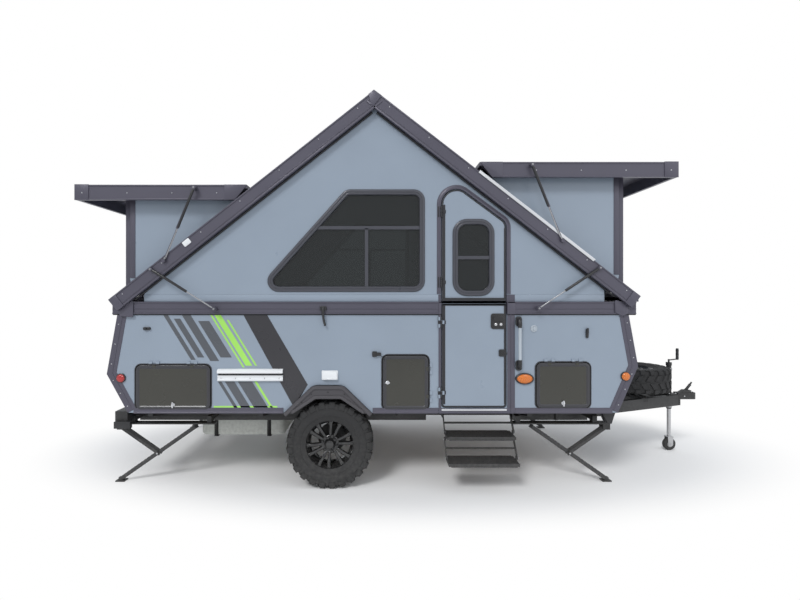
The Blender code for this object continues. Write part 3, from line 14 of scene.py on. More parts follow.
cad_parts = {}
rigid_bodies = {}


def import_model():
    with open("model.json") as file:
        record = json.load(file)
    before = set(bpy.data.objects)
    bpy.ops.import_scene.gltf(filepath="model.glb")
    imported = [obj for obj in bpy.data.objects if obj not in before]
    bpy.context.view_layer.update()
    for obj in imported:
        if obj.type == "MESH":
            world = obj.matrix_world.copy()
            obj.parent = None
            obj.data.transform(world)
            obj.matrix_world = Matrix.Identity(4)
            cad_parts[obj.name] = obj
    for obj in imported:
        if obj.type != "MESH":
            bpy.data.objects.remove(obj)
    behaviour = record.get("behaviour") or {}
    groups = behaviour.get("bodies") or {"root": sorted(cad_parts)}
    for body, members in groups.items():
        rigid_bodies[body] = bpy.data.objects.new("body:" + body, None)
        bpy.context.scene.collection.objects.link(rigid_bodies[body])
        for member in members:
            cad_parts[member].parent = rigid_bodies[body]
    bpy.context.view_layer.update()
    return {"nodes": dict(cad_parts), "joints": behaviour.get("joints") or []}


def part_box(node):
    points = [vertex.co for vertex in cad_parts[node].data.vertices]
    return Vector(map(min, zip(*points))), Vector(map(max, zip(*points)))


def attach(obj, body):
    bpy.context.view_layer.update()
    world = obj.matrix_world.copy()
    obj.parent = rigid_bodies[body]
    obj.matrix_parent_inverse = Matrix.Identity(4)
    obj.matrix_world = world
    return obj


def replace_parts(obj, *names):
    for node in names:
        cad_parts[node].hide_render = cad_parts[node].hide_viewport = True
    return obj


bl_info = {
    "name": "Folding Camper Trailer",
    "version": (1, 0, 0),
    "blender": (4, 5, 0),
    "location": "3D View > Sidebar > Camper",
    "description": "Builds the looks of a hard-sided folding camper trailer on its CAD frame",
    "category": "Object",
}

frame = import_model()

# Places shared with the CAD frame, in metres
AXLE_X = sum(corner.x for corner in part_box("wheel_near")) / 2
WALL_Y = 1.015
BELT_Y = 1.028
GABLE_Y, GABLE_IN = 1.01, 0.975
LID_Y = 1.03
SKIRT_Y = 1.064
SIDE_Y = 0.925
SILL_Z = 0.65
BELT_LOW, BELT_TOP = 1.4903, 1.595
PEAK = (0.382, 3.37)
EAVES = {"rear": (-1.85, 1.61), "front": (2.615, 1.64)}
UP = {"rear": 1, "front": -1}
SIDES = (("near", -1), ("far", 1))
VINYL = (-WALL_Y - 0.001, -WALL_Y + 0.0004)
DORMER_WALL = {"rear": -1.8, "front": 2.565}
LID = {"rear": (-2.155, -0.7, 2.587), "front": (2.955, 1.275, 2.78)}
FLANGE_END = {"rear": -0.8, "front": 1.38}
# The folded sides lie on the folded end wall, so its window frame stands this share of the others' out.
DORMER_FRAME = 0.4
# The folded step goes up between these two places.
STEP_BAY = (0.86, 1.65)
# The wheel's spokes and nuts
SPOKE_PAIRS = LUG_NUTS = 6
# How far a cushion may swell
SWELL = 0.022
# The photo's camera: along from the axle, out from the wall, up
CAMERA = (0.404, 4.0, 1.66)
DORMER_WINDOW_HALF, DORMER_WINDOW_SET = 0.56, 0.22
DOOR_FRAME = (0.928, 1.576)
# The roof halves' slope, rounded, under the dormers' posts
ROOF_SLOPE = 0.78
PORCH_LAMP = (1.6575, 0.9405)
JACK_X = 3.517
GABLE_X = (-1.58, 2.34)
GABLE_FOOT = {"near": 1.6553, "far": 1.5953}
WINDOW_R, DOOR_WINDOW_R = 0.08, 0.11
GABLE_WINDOW = [(-0.615, 1.691), (0.799, 1.691), (0.799, 2.538), (0.143, 2.538)]
DOOR_WINDOW = [(1.06, 1.655), (1.391, 1.655), (1.391, 2.286), (1.06, 2.286)]
DOOR_X = (0.95, 1.508)
DOOR_PIN_Y = -1.025
DOOR_PINS = {"upper": (1.76, 2.36), "lower": (0.82, 1.42)}
LEAF_Y = (-1.012, -0.976)
DOOR_TOP = [(0.95, 2.554), (1.122, 2.554), (1.508, 2.27)]
DOOR_TOP_R = [0.13, 0.12, 0.09]
BAGGAGE = {
    "rear": (-1.653, -1.007, 0.672, 1.061),
    "middle": (0.447, 0.847, 0.672, 1.142),
    "front": (1.753, 2.221, 0.685, 1.081),
}
ARCH = [(-0.305, SILL_Z), (-0.115, 0.775), (0.098, 0.775), (0.283, SILL_Z)]
FLARE = [(-0.388, SILL_Z), (-0.141, 0.886), (0.119, 0.886), (0.363, SILL_Z)]
BOX_END = {
    "rear": [(-1.8, 1.488), (-1.89, 0.98), (-1.71, 0.652)],
    "front": [(2.54, 1.488), (2.62, 1.045), (2.45, 0.652)],
}


# Settings

def colour(label, text, value):
    """A colour setting."""
    return bpy.props.FloatVectorProperty(
        name=label, description=text, default=value, size=3, subtype="COLOR", min=0, max=1)


def length(label, text, value):
    """A length setting."""
    return bpy.props.FloatProperty(name=label, description=text, default=value, unit="LENGTH", min=0.0001)


class CamperColours(bpy.types.PropertyGroup):
    """The colours of the trailer."""
    panel: colour("Panel", "Skin of the walls, gables and doors", (0.262, 0.315, 0.385))
    trim: colour("Trim", "Extrusions round the walls and the roof", (0.088, 0.084, 0.112))
    chassis: colour("Chassis", "Frame, step and stabilisers", (0.018, 0.018, 0.019))
    moulding: colour("Moulding", "Baggage doors", (0.03, 0.029, 0.021))
    fender: colour("Fender", "Wheel-arch flares", (0.06, 0.057, 0.064))
    rubber: colour("Rubber", "Tyres and seals", (0.02, 0.02, 0.021))
    wheel: colour("Wheel", "Wheels", (0.01, 0.01, 0.011))
    glass: colour("Glass", "Tint of the windows", (0.115, 0.13, 0.13))
    white: colour("White", "Outlet cover and table bracket", (0.78, 0.8, 0.82))
    amber: colour("Amber", "Front lamps", (0.86, 0.22, 0.02))
    red: colour("Red", "Rear lamps", (0.55, 0.02, 0.02))
    lime: colour("Lime", "Accent lines", (0.36, 0.74, 0.12))
    stripe: colour("Stripe", "Dark stripe on the wall", (0.032, 0.031, 0.036))
    wood: colour("Wood", "Cabinets and floor", (0.36, 0.27, 0.19))
    cloth: colour("Cloth", "Cushions", (0.22, 0.23, 0.25))
    floor: colour("Floor", "Ground under the trailer", (0.93, 0.93, 0.93))


class CamperSizes(bpy.types.PropertyGroup):
    """The sizes of the pieces that the operators add."""
    trim_skin: length("Trim thickness", "How far a trim stands off the wall", 0.004)
    end_trim: length("End trim width", "Dark trim along the box's ends", 0.075)
    rivet: length("Rivet", "Radius of a rivet's head", 0.0065)
    tread_pitches: bpy.props.IntProperty(
        name="Tread pitches", description="Tread blocks round each tyre", default=25, min=12, max=40)
    hole_pitch: length("Hole pitch", "Distance between the stabiliser legs' holes", 0.036)


def colours():
    return bpy.context.scene.camper_colours


def sizes():
    return bpy.context.scene.camper_sizes


# Node trees

def node(tree, kind, inputs=None, **options):
    """One node with its options set and its inputs set or linked."""
    made = tree.nodes.new(kind)
    for key, value in options.items():
        setattr(made, key, value)
    for key, value in (inputs or {}).items():
        value = value.outputs[0] if isinstance(value, bpy.types.Node) else value
        if isinstance(value, bpy.types.NodeSocket):
            tree.links.new(value, made.inputs[key])
        else:
            made.inputs[key].default_value = value
    return made


def shared(name, kind, inputs, outputs):
    """Makes the wiring function below it into one that gives the node group, wired at its first use."""
    def wrap(wire):
        def group():
            if name in bpy.data.node_groups:
                return bpy.data.node_groups[name]
            tree = bpy.data.node_groups.new(name, kind)
            for label, socket, value in inputs:
                made = tree.interface.new_socket(label, in_out="INPUT", socket_type=socket)
                if value is not None:
                    made.default_value = value
            for label, socket in outputs:
                tree.interface.new_socket(label, in_out="OUTPUT", socket_type=socket)
            wire(tree, tree.nodes.new("NodeGroupInput").outputs, tree.nodes.new("NodeGroupOutput").inputs)
            return tree
        return group
    return wrap


@shared("Tone Drift", "ShaderNodeTree", [
    ("Vector", "NodeSocketVector", None), ("Colour", "NodeSocketColor", (0.5, 0.5, 0.5, 1)),
    ("Drift", "NodeSocketFloat", 0.05), ("Patches", "NodeSocketFloat", 2.0),
], [("Colour", "NodeSocketColor")])
def tone_drift(tree, start, end):
    """A colour that drifts a little in broad patches."""
    patches = node(tree, "ShaderNodeTexNoise", {
        "Vector": start["Vector"], "Scale": start["Patches"], "Detail": 3.0})
    centred = node(tree, "ShaderNodeMath", {0: patches.outputs["Fac"], 1: 0.5}, operation="SUBTRACT")
    swing = node(tree, "ShaderNodeMath", {0: centred, 1: start["Drift"]}, operation="MULTIPLY")
    level = node(tree, "ShaderNodeMath", {0: swing, 1: 4.0, 2: 1.0}, operation="MULTIPLY_ADD")
    scaled = node(tree, "ShaderNodeVectorMath", {0: start["Colour"], "Scale": level}, operation="SCALE")
    tree.links.new(scaled.outputs[0], end["Colour"])


@shared("Road Film", "ShaderNodeTree", [
    ("Vector", "NodeSocketVector", None), ("Reach", "NodeSocketFloat", 0.9),
    ("Amount", "NodeSocketFloat", 0.3), ("Specks", "NodeSocketFloat", 40.0),
], [("Mask", "NodeSocketFloat")])
def road_film(tree, start, end):
    """A mask of dust that thickens towards the ground and breaks up in fine specks."""
    split = node(tree, "ShaderNodeSeparateXYZ", {0: start["Vector"]})
    fall = node(tree, "ShaderNodeMapRange", {
        "Value": split.outputs["Z"], "From Min": 0.0, "From Max": start["Reach"],
        "To Min": 1.0, "To Max": 0.0}, interpolation_type="SMOOTHSTEP")
    specks = node(tree, "ShaderNodeTexNoise", {
        "Vector": start["Vector"], "Scale": start["Specks"], "Detail": 6.0})
    broken = node(tree, "ShaderNodeMapRange", {
        "Value": specks.outputs["Fac"], "From Min": 0.35, "From Max": 0.7, "To Min": 0.25, "To Max": 1.0})
    both = node(tree, "ShaderNodeMath", {0: fall, 1: broken}, operation="MULTIPLY")
    mask = node(tree, "ShaderNodeMath", {0: both, 1: start["Amount"]}, operation="MULTIPLY", use_clamp=True)
    tree.links.new(mask.outputs[0], end["Mask"])


@shared("Fine Height", "ShaderNodeTree", [
    ("Vector", "NodeSocketVector", None), ("Scale", "NodeSocketFloat", 200.0),
    ("Draw Out", "NodeSocketVector", (1, 1, 1)),
], [("Height", "NodeSocketFloat"), ("Sheen", "NodeSocketFloat")])
def fine_height(tree, start, end):
    """The small bumps of paint, powder coat or moulded plastic, drawn out along one way."""
    drawn = node(tree, "ShaderNodeVectorMath", {
        0: start["Vector"], 1: start["Draw Out"]}, operation="MULTIPLY")
    grain = node(tree, "ShaderNodeTexNoise", {"Vector": drawn, "Scale": start["Scale"], "Detail": 4.0})
    slow = node(tree, "ShaderNodeTexNoise", {"Vector": drawn, "Scale": 5.0, "Detail": 5.0})
    tree.links.new(grain.outputs["Fac"], end["Height"])
    tree.links.new(slow.outputs["Fac"], end["Sheen"])


@shared("Cloth Weave", "ShaderNodeTree", [
    ("Vector", "NodeSocketVector", None), ("Threads", "NodeSocketFloat", 180.0),
], [("Height", "NodeSocketFloat"), ("Thread", "NodeSocketFloat")])
def cloth_weave(tree, start, end):
    """The crossed threads of a woven cloth."""
    waves = [
        node(tree, "ShaderNodeTexWave", {
            "Vector": start["Vector"], "Scale": start["Threads"], "Distortion": 0.6},
            wave_type="BANDS", bands_direction=way)
        for way in ("X", "Y")
    ]
    crossed = node(tree, "ShaderNodeMath", {
        0: waves[0].outputs["Fac"], 1: waves[1].outputs["Fac"]}, operation="MAXIMUM")
    thread = node(tree, "ShaderNodeTexNoise", {"Vector": start["Vector"], "Scale": 420.0, "Detail": 2.0})
    tree.links.new(crossed.outputs[0], end["Height"])
    tree.links.new(thread.outputs["Fac"], end["Thread"])


# Finishes

def blank(name):
    """A material with its shader, and the object coordinates that its patterns read."""
    item = bpy.data.materials.new(name)
    item.use_nodes = True
    tree = item.node_tree
    shader = tree.nodes["Principled BSDF"]
    where = tree.nodes.new("ShaderNodeTexCoord").outputs["Object"]
    return item, tree, shader, where


def coated(name, base, roughness, metallic=0.0, grain=(220.0, 0.02), drift=0.04, film=0.0, coat=0.0,
           draw_out=(1, 1, 1), sheen=0.08):
    """Paint, powder coat, rubber or moulded plastic with grain, drift and road dust."""
    item, tree, shader, where = blank(name)
    tone = node(tree, "ShaderNodeGroup", node_tree=tone_drift())
    tree.links.new(where, tone.inputs["Vector"])
    tone.inputs["Colour"].default_value = (*base, 1)
    tone.inputs["Drift"].default_value = drift
    fine = node(tree, "ShaderNodeGroup", node_tree=fine_height())
    tree.links.new(where, fine.inputs["Vector"])
    fine.inputs["Scale"].default_value = grain[0]
    fine.inputs["Draw Out"].default_value = draw_out
    paint = tone.outputs["Colour"]
    rough = node(tree, "ShaderNodeMapRange", {
        "Value": fine.outputs["Sheen"], "From Min": 0.25, "From Max": 0.75,
        "To Min": max(roughness - sheen, 0.02), "To Max": min(roughness + sheen, 1.0)}).outputs[0]
    if film:
        dust = node(tree, "ShaderNodeGroup", node_tree=road_film())
        tree.links.new(where, dust.inputs["Vector"])
        dust.inputs["Amount"].default_value = film
        mixed = node(tree, "ShaderNodeMix", {0: dust.outputs["Mask"], 6: paint, 7: (0.185, 0.18, 0.17, 1)},
                     data_type="RGBA")
        paint = mixed.outputs[2]
        dull = node(tree, "ShaderNodeMix", {0: dust.outputs["Mask"], 2: rough, 3: 0.95}, data_type="FLOAT")
        rough = dull.outputs[0]
    tree.links.new(paint, shader.inputs["Base Color"])
    tree.links.new(rough, shader.inputs["Roughness"])
    bump = node(tree, "ShaderNodeBump", {
        "Height": fine.outputs["Height"], "Strength": 0.35, "Distance": grain[1] / 100})
    tree.links.new(bump.outputs[0], shader.inputs["Normal"])
    shader.inputs["Metallic"].default_value = metallic
    shader.inputs["Coat Weight"].default_value = coat
    shader.inputs["Coat Roughness"].default_value = 0.08
    return item


def lens(name, base):
    """A moulded lamp lens with fine ribs in it."""
    item, tree, shader, where = blank(name)
    ribs = node(tree, "ShaderNodeTexWave", {"Vector": where, "Scale": 60.0}, bands_direction="X")
    cells = node(tree, "ShaderNodeTexVoronoi", {"Vector": where, "Scale": 130.0})
    both = node(tree, "ShaderNodeMath", {0: ribs.outputs["Fac"], 1: cells.outputs["Distance"]})
    bump = node(tree, "ShaderNodeBump", {"Height": both, "Strength": 0.5, "Distance": 0.002})
    shade = node(tree, "ShaderNodeMix", {0: cells.outputs["Distance"], 6: (*base, 1),
                                         7: (*[c * 0.55 for c in base], 1)}, data_type="RGBA")
    tree.links.new(shade.outputs[2], shader.inputs["Base Color"])
    tree.links.new(bump.outputs[0], shader.inputs["Normal"])
    shader.inputs["Roughness"].default_value = 0.18
    shader.inputs["Coat Weight"].default_value = 0.6
    return item


def bright_steel(name, base, roughness):
    """Zinc plate or polished steel with a faint brushed grain."""
    return coated(name, base, roughness, 1.0, (260.0, 0.012), 0.05, 0.12, 0.0, (1, 6, 6), 0.07)


def wood_grain(name, base):
    """Laminate with a printed wood grain along X."""
    item, tree, shader, where = blank(name)
    drawn = node(tree, "ShaderNodeVectorMath", {0: where, 1: (1.2, 14.0, 14.0)}, operation="MULTIPLY")
    rings = node(tree, "ShaderNodeTexNoise", {"Vector": drawn, "Scale": 3.0, "Detail": 8.0})
    ramp = node(tree, "ShaderNodeMapRange", {
        "Value": rings.outputs["Fac"], "From Min": 0.3, "From Max": 0.7})
    shade = node(tree, "ShaderNodeMix", {
        0: ramp, 6: (*[c * 0.6 for c in base], 1), 7: (*base, 1)}, data_type="RGBA")
    bump = node(tree, "ShaderNodeBump", {"Height": rings.outputs["Fac"], "Strength": 0.2,
                                         "Distance": 0.0004})
    tree.links.new(shade.outputs[2], shader.inputs["Base Color"])
    tree.links.new(bump.outputs[0], shader.inputs["Normal"])
    shader.inputs["Roughness"].default_value = 0.42
    return item


def window_glass(name, base):
    """Tinted acrylic glazing."""
    item, tree, shader, where = blank(name)
    smear = node(tree, "ShaderNodeTexNoise", {"Vector": where, "Scale": 3.0, "Detail": 6.0})
    rough = node(tree, "ShaderNodeMapRange", {"Value": smear.outputs["Fac"], "To Min": 0.0, "To Max": 0.05})
    wave = node(tree, "ShaderNodeBump", {"Height": smear.outputs["Fac"], "Strength": 0.1, "Distance": 0.004})
    tree.links.new(rough.outputs[0], shader.inputs["Roughness"])
    tree.links.new(wave.outputs[0], shader.inputs["Normal"])
    shader.inputs["Base Color"].default_value = (*base, 1)
    shader.inputs["Transmission Weight"].default_value = 0.9
    shader.inputs["IOR"].default_value = 1.49
    return item


def woven(name, base):
    """Upholstery cloth."""
    item, tree, shader, where = blank(name)
    weave = node(tree, "ShaderNodeGroup", node_tree=cloth_weave())
    tree.links.new(where, weave.inputs["Vector"])
    shade = node(tree, "ShaderNodeMix", {0: weave.outputs["Thread"], 6: (*[c * 0.7 for c in base], 1),
                                         7: (*[min(c * 1.3, 1) for c in base], 1)}, data_type="RGBA")
    bump = node(tree, "ShaderNodeBump", {"Height": weave.outputs["Height"], "Strength": 0.5,
                                         "Distance": 0.0006})
    tree.links.new(shade.outputs[2], shader.inputs["Base Color"])
    tree.links.new(bump.outputs[0], shader.inputs["Normal"])
    shader.inputs["Roughness"].default_value = 0.9
    shader.inputs["Sheen Weight"].default_value = 0.3
    return item


# Each finish: its maker, the material's name, a colour or a setting's name, and what the maker takes
FINISHES = {
    "panel": (coated, "panel_skin", "panel", 0.34, 0.0, (160.0, 0.03), 0.035, 0.1, 0.25),
    "trim": (coated, "trim_extrusion", "trim", 0.4, 0.25, (300.0, 0.02), 0.05, 0.08, 0.1, (0.2, 3, 1)),
    "seal": (coated, "rubber_seal", (0.022, 0.022, 0.026), 0.55, 0.0, (180.0, 0.03), 0.06, 0.1),
    "window_frame": (coated, "window_frame", (0.06, 0.062, 0.076), 0.33, 0.1, (260, 0.02), 0.04, 0, 0.2),
    "chassis": (coated, "powder_coat", "chassis", 0.46, 0.0, (420.0, 0.05), 0.1, 0.35, 0.15),
    "moulding": (coated, "door_moulding", "moulding", 0.24, 0.0, (120.0, 0.02), 0.1, 0.15, 0.5),
    "bezel": (coated, "bezel_plastic", (0.034, 0.034, 0.04), 0.38, 0.0, (300.0, 0.03), 0.05, 0.12, 0.2),
    "fender": (coated, "fender_plastic", "fender", 0.55, 0.0, (380.0, 0.09), 0.1, 0.35),
    "rubber": (coated, "tyre_rubber", "rubber", 0.8, 0.0, (240.0, 0.08), 0.15, 0.2),
    "wheel": (coated, "gloss_black", "wheel", 0.16, 0.3, (90.0, 0.01), 0.06, 0.22, 0.9),
    "machined": (bright_steel, "machined_steel", (0.45, 0.45, 0.46), 0.3),
    "zinc": (bright_steel, "zinc_plate", (0.62, 0.62, 0.63), 0.28),
    "alloy": (bright_steel, "mill_alloy", (0.74, 0.75, 0.77), 0.32),
    "white": (coated, "white_plastic", "white", 0.35, 0.0, (300.0, 0.02), 0.03, 0.1, 0.2),
    "tank": (coated, "tank_plastic", (0.62, 0.64, 0.6), 0.55, 0.0, (60.0, 0.06), 0.06, 0.55),
    "black": (coated, "black_plastic", (0.02, 0.02, 0.022), 0.35, 0.0, (320.0, 0.04), 0.06, 0.1, 0.1),
    "grip": (coated, "light_grip", (0.42, 0.47, 0.52), 0.16, 0.0, (60.0, 0.01), 0.05, 0.0, 0.6),
    "stripe": (coated, "vinyl_dark", "stripe", 0.3, 0.0, (120.0, 0.01), 0.05, 0.08, 0.2),
    "grey_vinyl": (coated, "vinyl_grey", (0.085, 0.092, 0.105), 0.3, 0.0, (120.0, 0.01), 0.05, 0.08, 0.2),
    "lime": (coated, "vinyl_lime", "lime", 0.35, 0.0, (120.0, 0.01), 0.05, 0.05, 0.2),
    "amber": (lens, "amber_lens", "amber"),
    "red": (lens, "red_lens", "red"),
    "wood": (wood_grain, "cabinet_laminate", "wood"),
    "worktop": (coated, "worktop", (0.52, 0.5, 0.47), 0.3, 0.0, (90.0, 0.02), 0.12, 0.0, 0.2),
    "glass": (window_glass, "window_tint", "glass"),
    "cloth": (woven, "upholstery", "cloth"),
}


def finish_of(label):
    """The finish of that label, made at its first use."""
    maker, name, base, *rest = FINISHES[label]
    if name in bpy.data.materials:
        return bpy.data.materials[name]
    base = getattr(colours(), base) if isinstance(base, str) else base
    return maker(name, base, *rest)


# Shapes

class Form:
    """Points and faces gathered until they become one mesh."""

    def __init__(self):
        self.points, self.faces = [], []

    def add(self, points, faces):
        base = len(self.points)
        self.points += [tuple(point) for point in points]
        self.faces += [[base + index for index in face] for face in faces]
        return self


# Where a wheel or a tyre is turned, before it is placed: the centre and the axis
HUB = ((0, 0, 0), (0, 0, 1))


def put(u, v, w, across):
    """A plane's own (u, v) and the distance w across it, as a point."""
    return {"X": (w, u, v), "Y": (u, w, v), "Z": (u, v, w)}[across]


def prism(form, ring, low, high, across="Y"):
    """A flat plate with a ring as its edge."""
    count = len(ring)
    points = [put(u, v, w, across) for w in sorted((low, high)) for u, v in ring]
    faces = [list(range(count)), list(range(2 * count - 1, count - 1, -1))]
    faces += [[k, (k + 1) % count, count + (k + 1) % count, count + k] for k in range(count)]
    return form.add(points, faces)


def pierced(form, rings, low, high, across="Y"):
    """A flat plate with its first ring as edge and the others as holes."""
    flat = [point for ring in rings for point in ring]
    count = len(flat)
    caps = tessellate_polygon([[Vector((u, v, 0)) for u, v in ring] for ring in rings])
    faces = [list(face) for face in caps] + [[count + index for index in reversed(face)] for face in caps]
    base = 0
    for ring in rings:
        wide = len(ring)
        for k in range(wide):
            here, there = base + k, base + (k + 1) % wide
            faces.append([here, there, count + there, count + here])
        base += wide
    return form.add([put(u, v, w, across) for w in sorted((low, high)) for u, v in flat], faces)


def rect(u0, u1, v0, v1):
    """A rectangle's ring."""
    return [(u0, v0), (u1, v0), (u1, v1), (u0, v1)]


def shrunk(ring, by):
    """A ring that runs anticlockwise, moved inwards."""
    return [(u + way.x * by, v + way.y * by) for (u, v), way in zip(ring, mitres(ring, True))]


def block(form, x0, x1, y0, y1, z0, z1):
    """A box between two corners."""
    return prism(form, rect(*sorted((x0, x1)), z0, z1), y0, y1)


def grid_of(form, rows, closed=False):
    """Faces between rows of equal length."""
    wide = len(rows[0])
    faces = []
    last = len(rows) if closed else len(rows) - 1
    for r in range(last):
        here, there = r * wide, ((r + 1) % len(rows)) * wide
        for k in range(wide):
            faces.append([here + k, here + (k + 1) % wide, there + (k + 1) % wide, there + k])
    if not closed:
        faces.append(list(range(wide - 1, -1, -1)))
        faces.append([(len(rows) - 1) * wide + k for k in range(wide)])
    return form.add([point for row in rows for point in row], faces)


def tube(form, path, radius, sides=10):
    """A round bar along a path; the radius may be one number or one for each point."""
    path = [Vector(point) for point in path]
    radii = radius if isinstance(radius, (list, tuple)) else [radius] * len(path)
    normal = None
    rows = []
    for index, here in enumerate(path):
        before = path[max(index - 1, 0)]
        after = path[min(index + 1, len(path) - 1)]
        along = (after - before).normalized()
        if normal is None:
            hint = Vector((0, 0, 1)) if abs(along.z) < 0.9 else Vector((1, 0, 0))
            normal = along.cross(hint).normalized()
        normal = (normal - along * normal.dot(along)).normalized()
        side = along.cross(normal)
        turns = [math.tau * k / sides for k in range(sides)]
        rows.append([here + (normal * math.cos(t) + side * math.sin(t)) * radii[index] for t in turns])
    return grid_of(form, rows)


def lathe(form, profile, origin, axis, steps=28, ring=False):
    """A (radius, height) profile turned round an axis; a ring profile is closed on itself."""
    turn = Vector(axis).normalized().to_track_quat("Z", "Y").to_matrix()
    rows = []
    for k in range(steps):
        t = math.tau * k / steps
        rows.append([
            Vector(origin) + turn @ Vector((r * math.cos(t), r * math.sin(t), h)) for r, h in profile])
    wide = len(profile)
    faces = []
    for k in range(steps):
        here, there = k * wide, ((k + 1) % steps) * wide
        for j in range(wide if ring else wide - 1):
            n = (j + 1) % wide
            faces.append([here + j, there + j, there + n, here + n])
    return form.add([point for row in rows for point in row], faces)


def rounded(corners, radii, pieces=5):
    """A ring of corners with each corner turned into an arc."""
    if not isinstance(radii, (list, tuple)):
        radii = [radii] * len(corners)
    ring = []
    count = len(corners)
    for index, corner in enumerate(corners):
        radius = radii[index]
        here = Vector(corner)
        before = (Vector(corners[index - 1]) - here).normalized()
        after = (Vector(corners[(index + 1) % count]) - here).normalized()
        half = before.angle(after) / 2
        if radius <= 0 or half > math.radians(88):
            ring.append(tuple(here))
            continue
        centre = here + (before + after).normalized() * (radius / math.sin(half))
        first = here + before * (radius / math.tan(half)) - centre
        last = here + after * (radius / math.tan(half)) - centre
        sweep_angle = first.angle_signed(last)
        for piece in range(pieces + 1):
            turn = Matrix.Rotation(-sweep_angle * piece / pieces, 2)
            ring.append(tuple(centre + turn @ first))
    return ring


def mitres(path, closed):
    """For each point of a flat path, the way to its left, stretched at corners."""
    count = len(path)
    ways = []
    for index in range(count):
        here = Vector(path[index])
        before = Vector(path[index - 1]) if index or closed else None
        after = Vector(path[(index + 1) % count]) if index < count - 1 or closed else None
        parts = []
        for a, b in ((before, here), (here, after)):
            if a is not None and b is not None and (b - a).length > 1e-9:
                d = (b - a).normalized()
                parts.append(Vector((-d.y, d.x)))
        if len(parts) == 1:
            ways.append(parts[0])
        else:
            ways.append((parts[0] + parts[1]) / (1 + parts[0].dot(parts[1])))
    return ways


def sweep(form, path, profile, face, outward, across="Y", closed=True):
    """A profile of (left of the path, out from the face) drawn along a flat path."""
    ways = mitres(path, closed)
    rows = []
    for (u, v), way in zip(path, ways):
        rows.append([put(u + way.x * a, v + way.y * a, face + outward * b, across) for a, b in profile])
    return grid_of(form, rows, closed)


def strip(width, height, ease=0.3, start=0.0):
    """The profile of a flat strip with eased edges, lying on a face."""
    e = min(width, height) * ease
    return [(start, 0.0), (start, height - e), (start + e, height),
            (start + width - e, height), (start + width, height - e), (start + width, 0.0)]


def along_roof(name, distance, height):
    """The point a distance up a roof half from its eave, and a height square to it, as (x, z)."""
    eave = EAVES[name]
    run, rise = PEAK[0] - eave[0], PEAK[1] - eave[1]
    size = math.hypot(run, rise)
    run, rise = run / size, rise / size
    sign = 1 if run > 0 else -1
    return eave[0] + distance * run - sign * rise * height, eave[1] + distance * rise + abs(run) * height


def on_roof(name, s0, s1, low, high):
    """A rectangle's ring, laid up a roof half."""
    return [along_roof(name, s, height) for s, height in rect(s0, s1, low, high)]


def roof_length(name):
    return math.hypot(PEAK[0] - EAVES[name][0], PEAK[1] - EAVES[name][1])


def up_roof(name, x):
    """How far up its roof half a place lies."""
    return (x - EAVES[name][0]) / (PEAK[0] - EAVES[name][0]) * roof_length(name)


def gable_top(x):
    """How high a gable reaches under the roof's slab."""
    name = "rear" if x < PEAK[0] else "front"
    run = abs(PEAK[0] - EAVES[name][0]) / roof_length(name)
    return along_roof(name, up_roof(name, x), 0)[1] - 0.045 / run - 0.01


def sleeves(label, spots, axis, radius, fixed, moving):
    """Dark sleeves over the three knuckles of each hinge, of which the middle one moves."""
    for part, body, ends in (("fixed", fixed, ((-0.046, -0.0155), (0.0155, 0.046))),
                             ("moving", moving, ((-0.0145, 0.0145),))):
        form = Form()
        for spot in spots:
            for span in ends:
                tube(form, [Vector(spot) + Vector(axis) * step for step in span], radius, 14)
        make(form, f"{label}_knuckles_{part}", "seal", body, 0.0008)


def linked(name, data):
    """A new object of the scene."""
    item = bpy.data.objects.new(name, data)
    bpy.context.scene.collection.objects.link(item)
    return item


def settle(item, body):
    """Lets a piece ride on its body."""
    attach(item, body)
    return item


def mesh_of(form, name):
    """The mesh of a form, facing outwards."""
    mesh = bpy.data.meshes.new(name)
    mesh.from_pydata(form.points, [], form.faces)
    work = bmesh.new()
    work.from_mesh(mesh)
    bmesh.ops.recalc_face_normals(work, faces=work.faces)
    work.to_mesh(mesh)
    work.free()
    return mesh


def make(form, name, finish, body="trailer", bevel=0.0, smooth=35):
    """A finished piece: merged, facing outwards, in its place and riding on its body."""
    mesh = bpy.data.meshes.new(name)
    mesh.from_pydata(form.points, [], form.faces)
    mesh.materials.append(finish_of(finish))
    work = bmesh.new()
    work.from_mesh(mesh)
    bmesh.ops.remove_doubles(work, verts=work.verts, dist=1e-6)
    bmesh.ops.dissolve_degenerate(work, edges=work.edges, dist=1e-7)
    bmesh.ops.recalc_face_normals(work, faces=work.faces)
    if bevel:
        sharp = [edge for edge in work.edges if len(edge.link_faces) == 2 and edge.calc_face_angle(0) > 0.7]
        bmesh.ops.bevel(work, geom=sharp, offset=bevel, segments=2, affect="EDGES", profile=0.5,
                        clamp_overlap=True)
    work.to_mesh(mesh)
    work.free()
    mesh.transform(Matrix.Translation((AXLE_X, 0, 0)))
    mesh.shade_smooth()
    mesh.set_sharp_from_angle(angle=math.radians(smooth))
    return settle(linked(name, mesh), body)


# Geometry Nodes

def grown(name, mesh, tree, values, body):
    """What a Geometry Nodes tree makes of a mesh, as a plain piece."""
    item = linked(name, mesh)
    change = item.modifiers.new("Grow", "NODES")
    change.node_group = tree
    sockets = [s for s in tree.interface.items_tree if s.item_type == "SOCKET" and s.in_out == "INPUT"]
    named = {s.name: s.identifier for s in sockets}
    for label, value in values.items():
        change[named[label]] = value
    graph = bpy.context.evaluated_depsgraph_get()
    result = bpy.data.meshes.new_from_object(item.evaluated_get(graph))
    item.modifiers.clear()
    item.data = result
    result.name = name
    result.shade_smooth()
    result.set_sharp_from_angle(angle=math.radians(35))
    if body:
        settle(item, body)
    return item


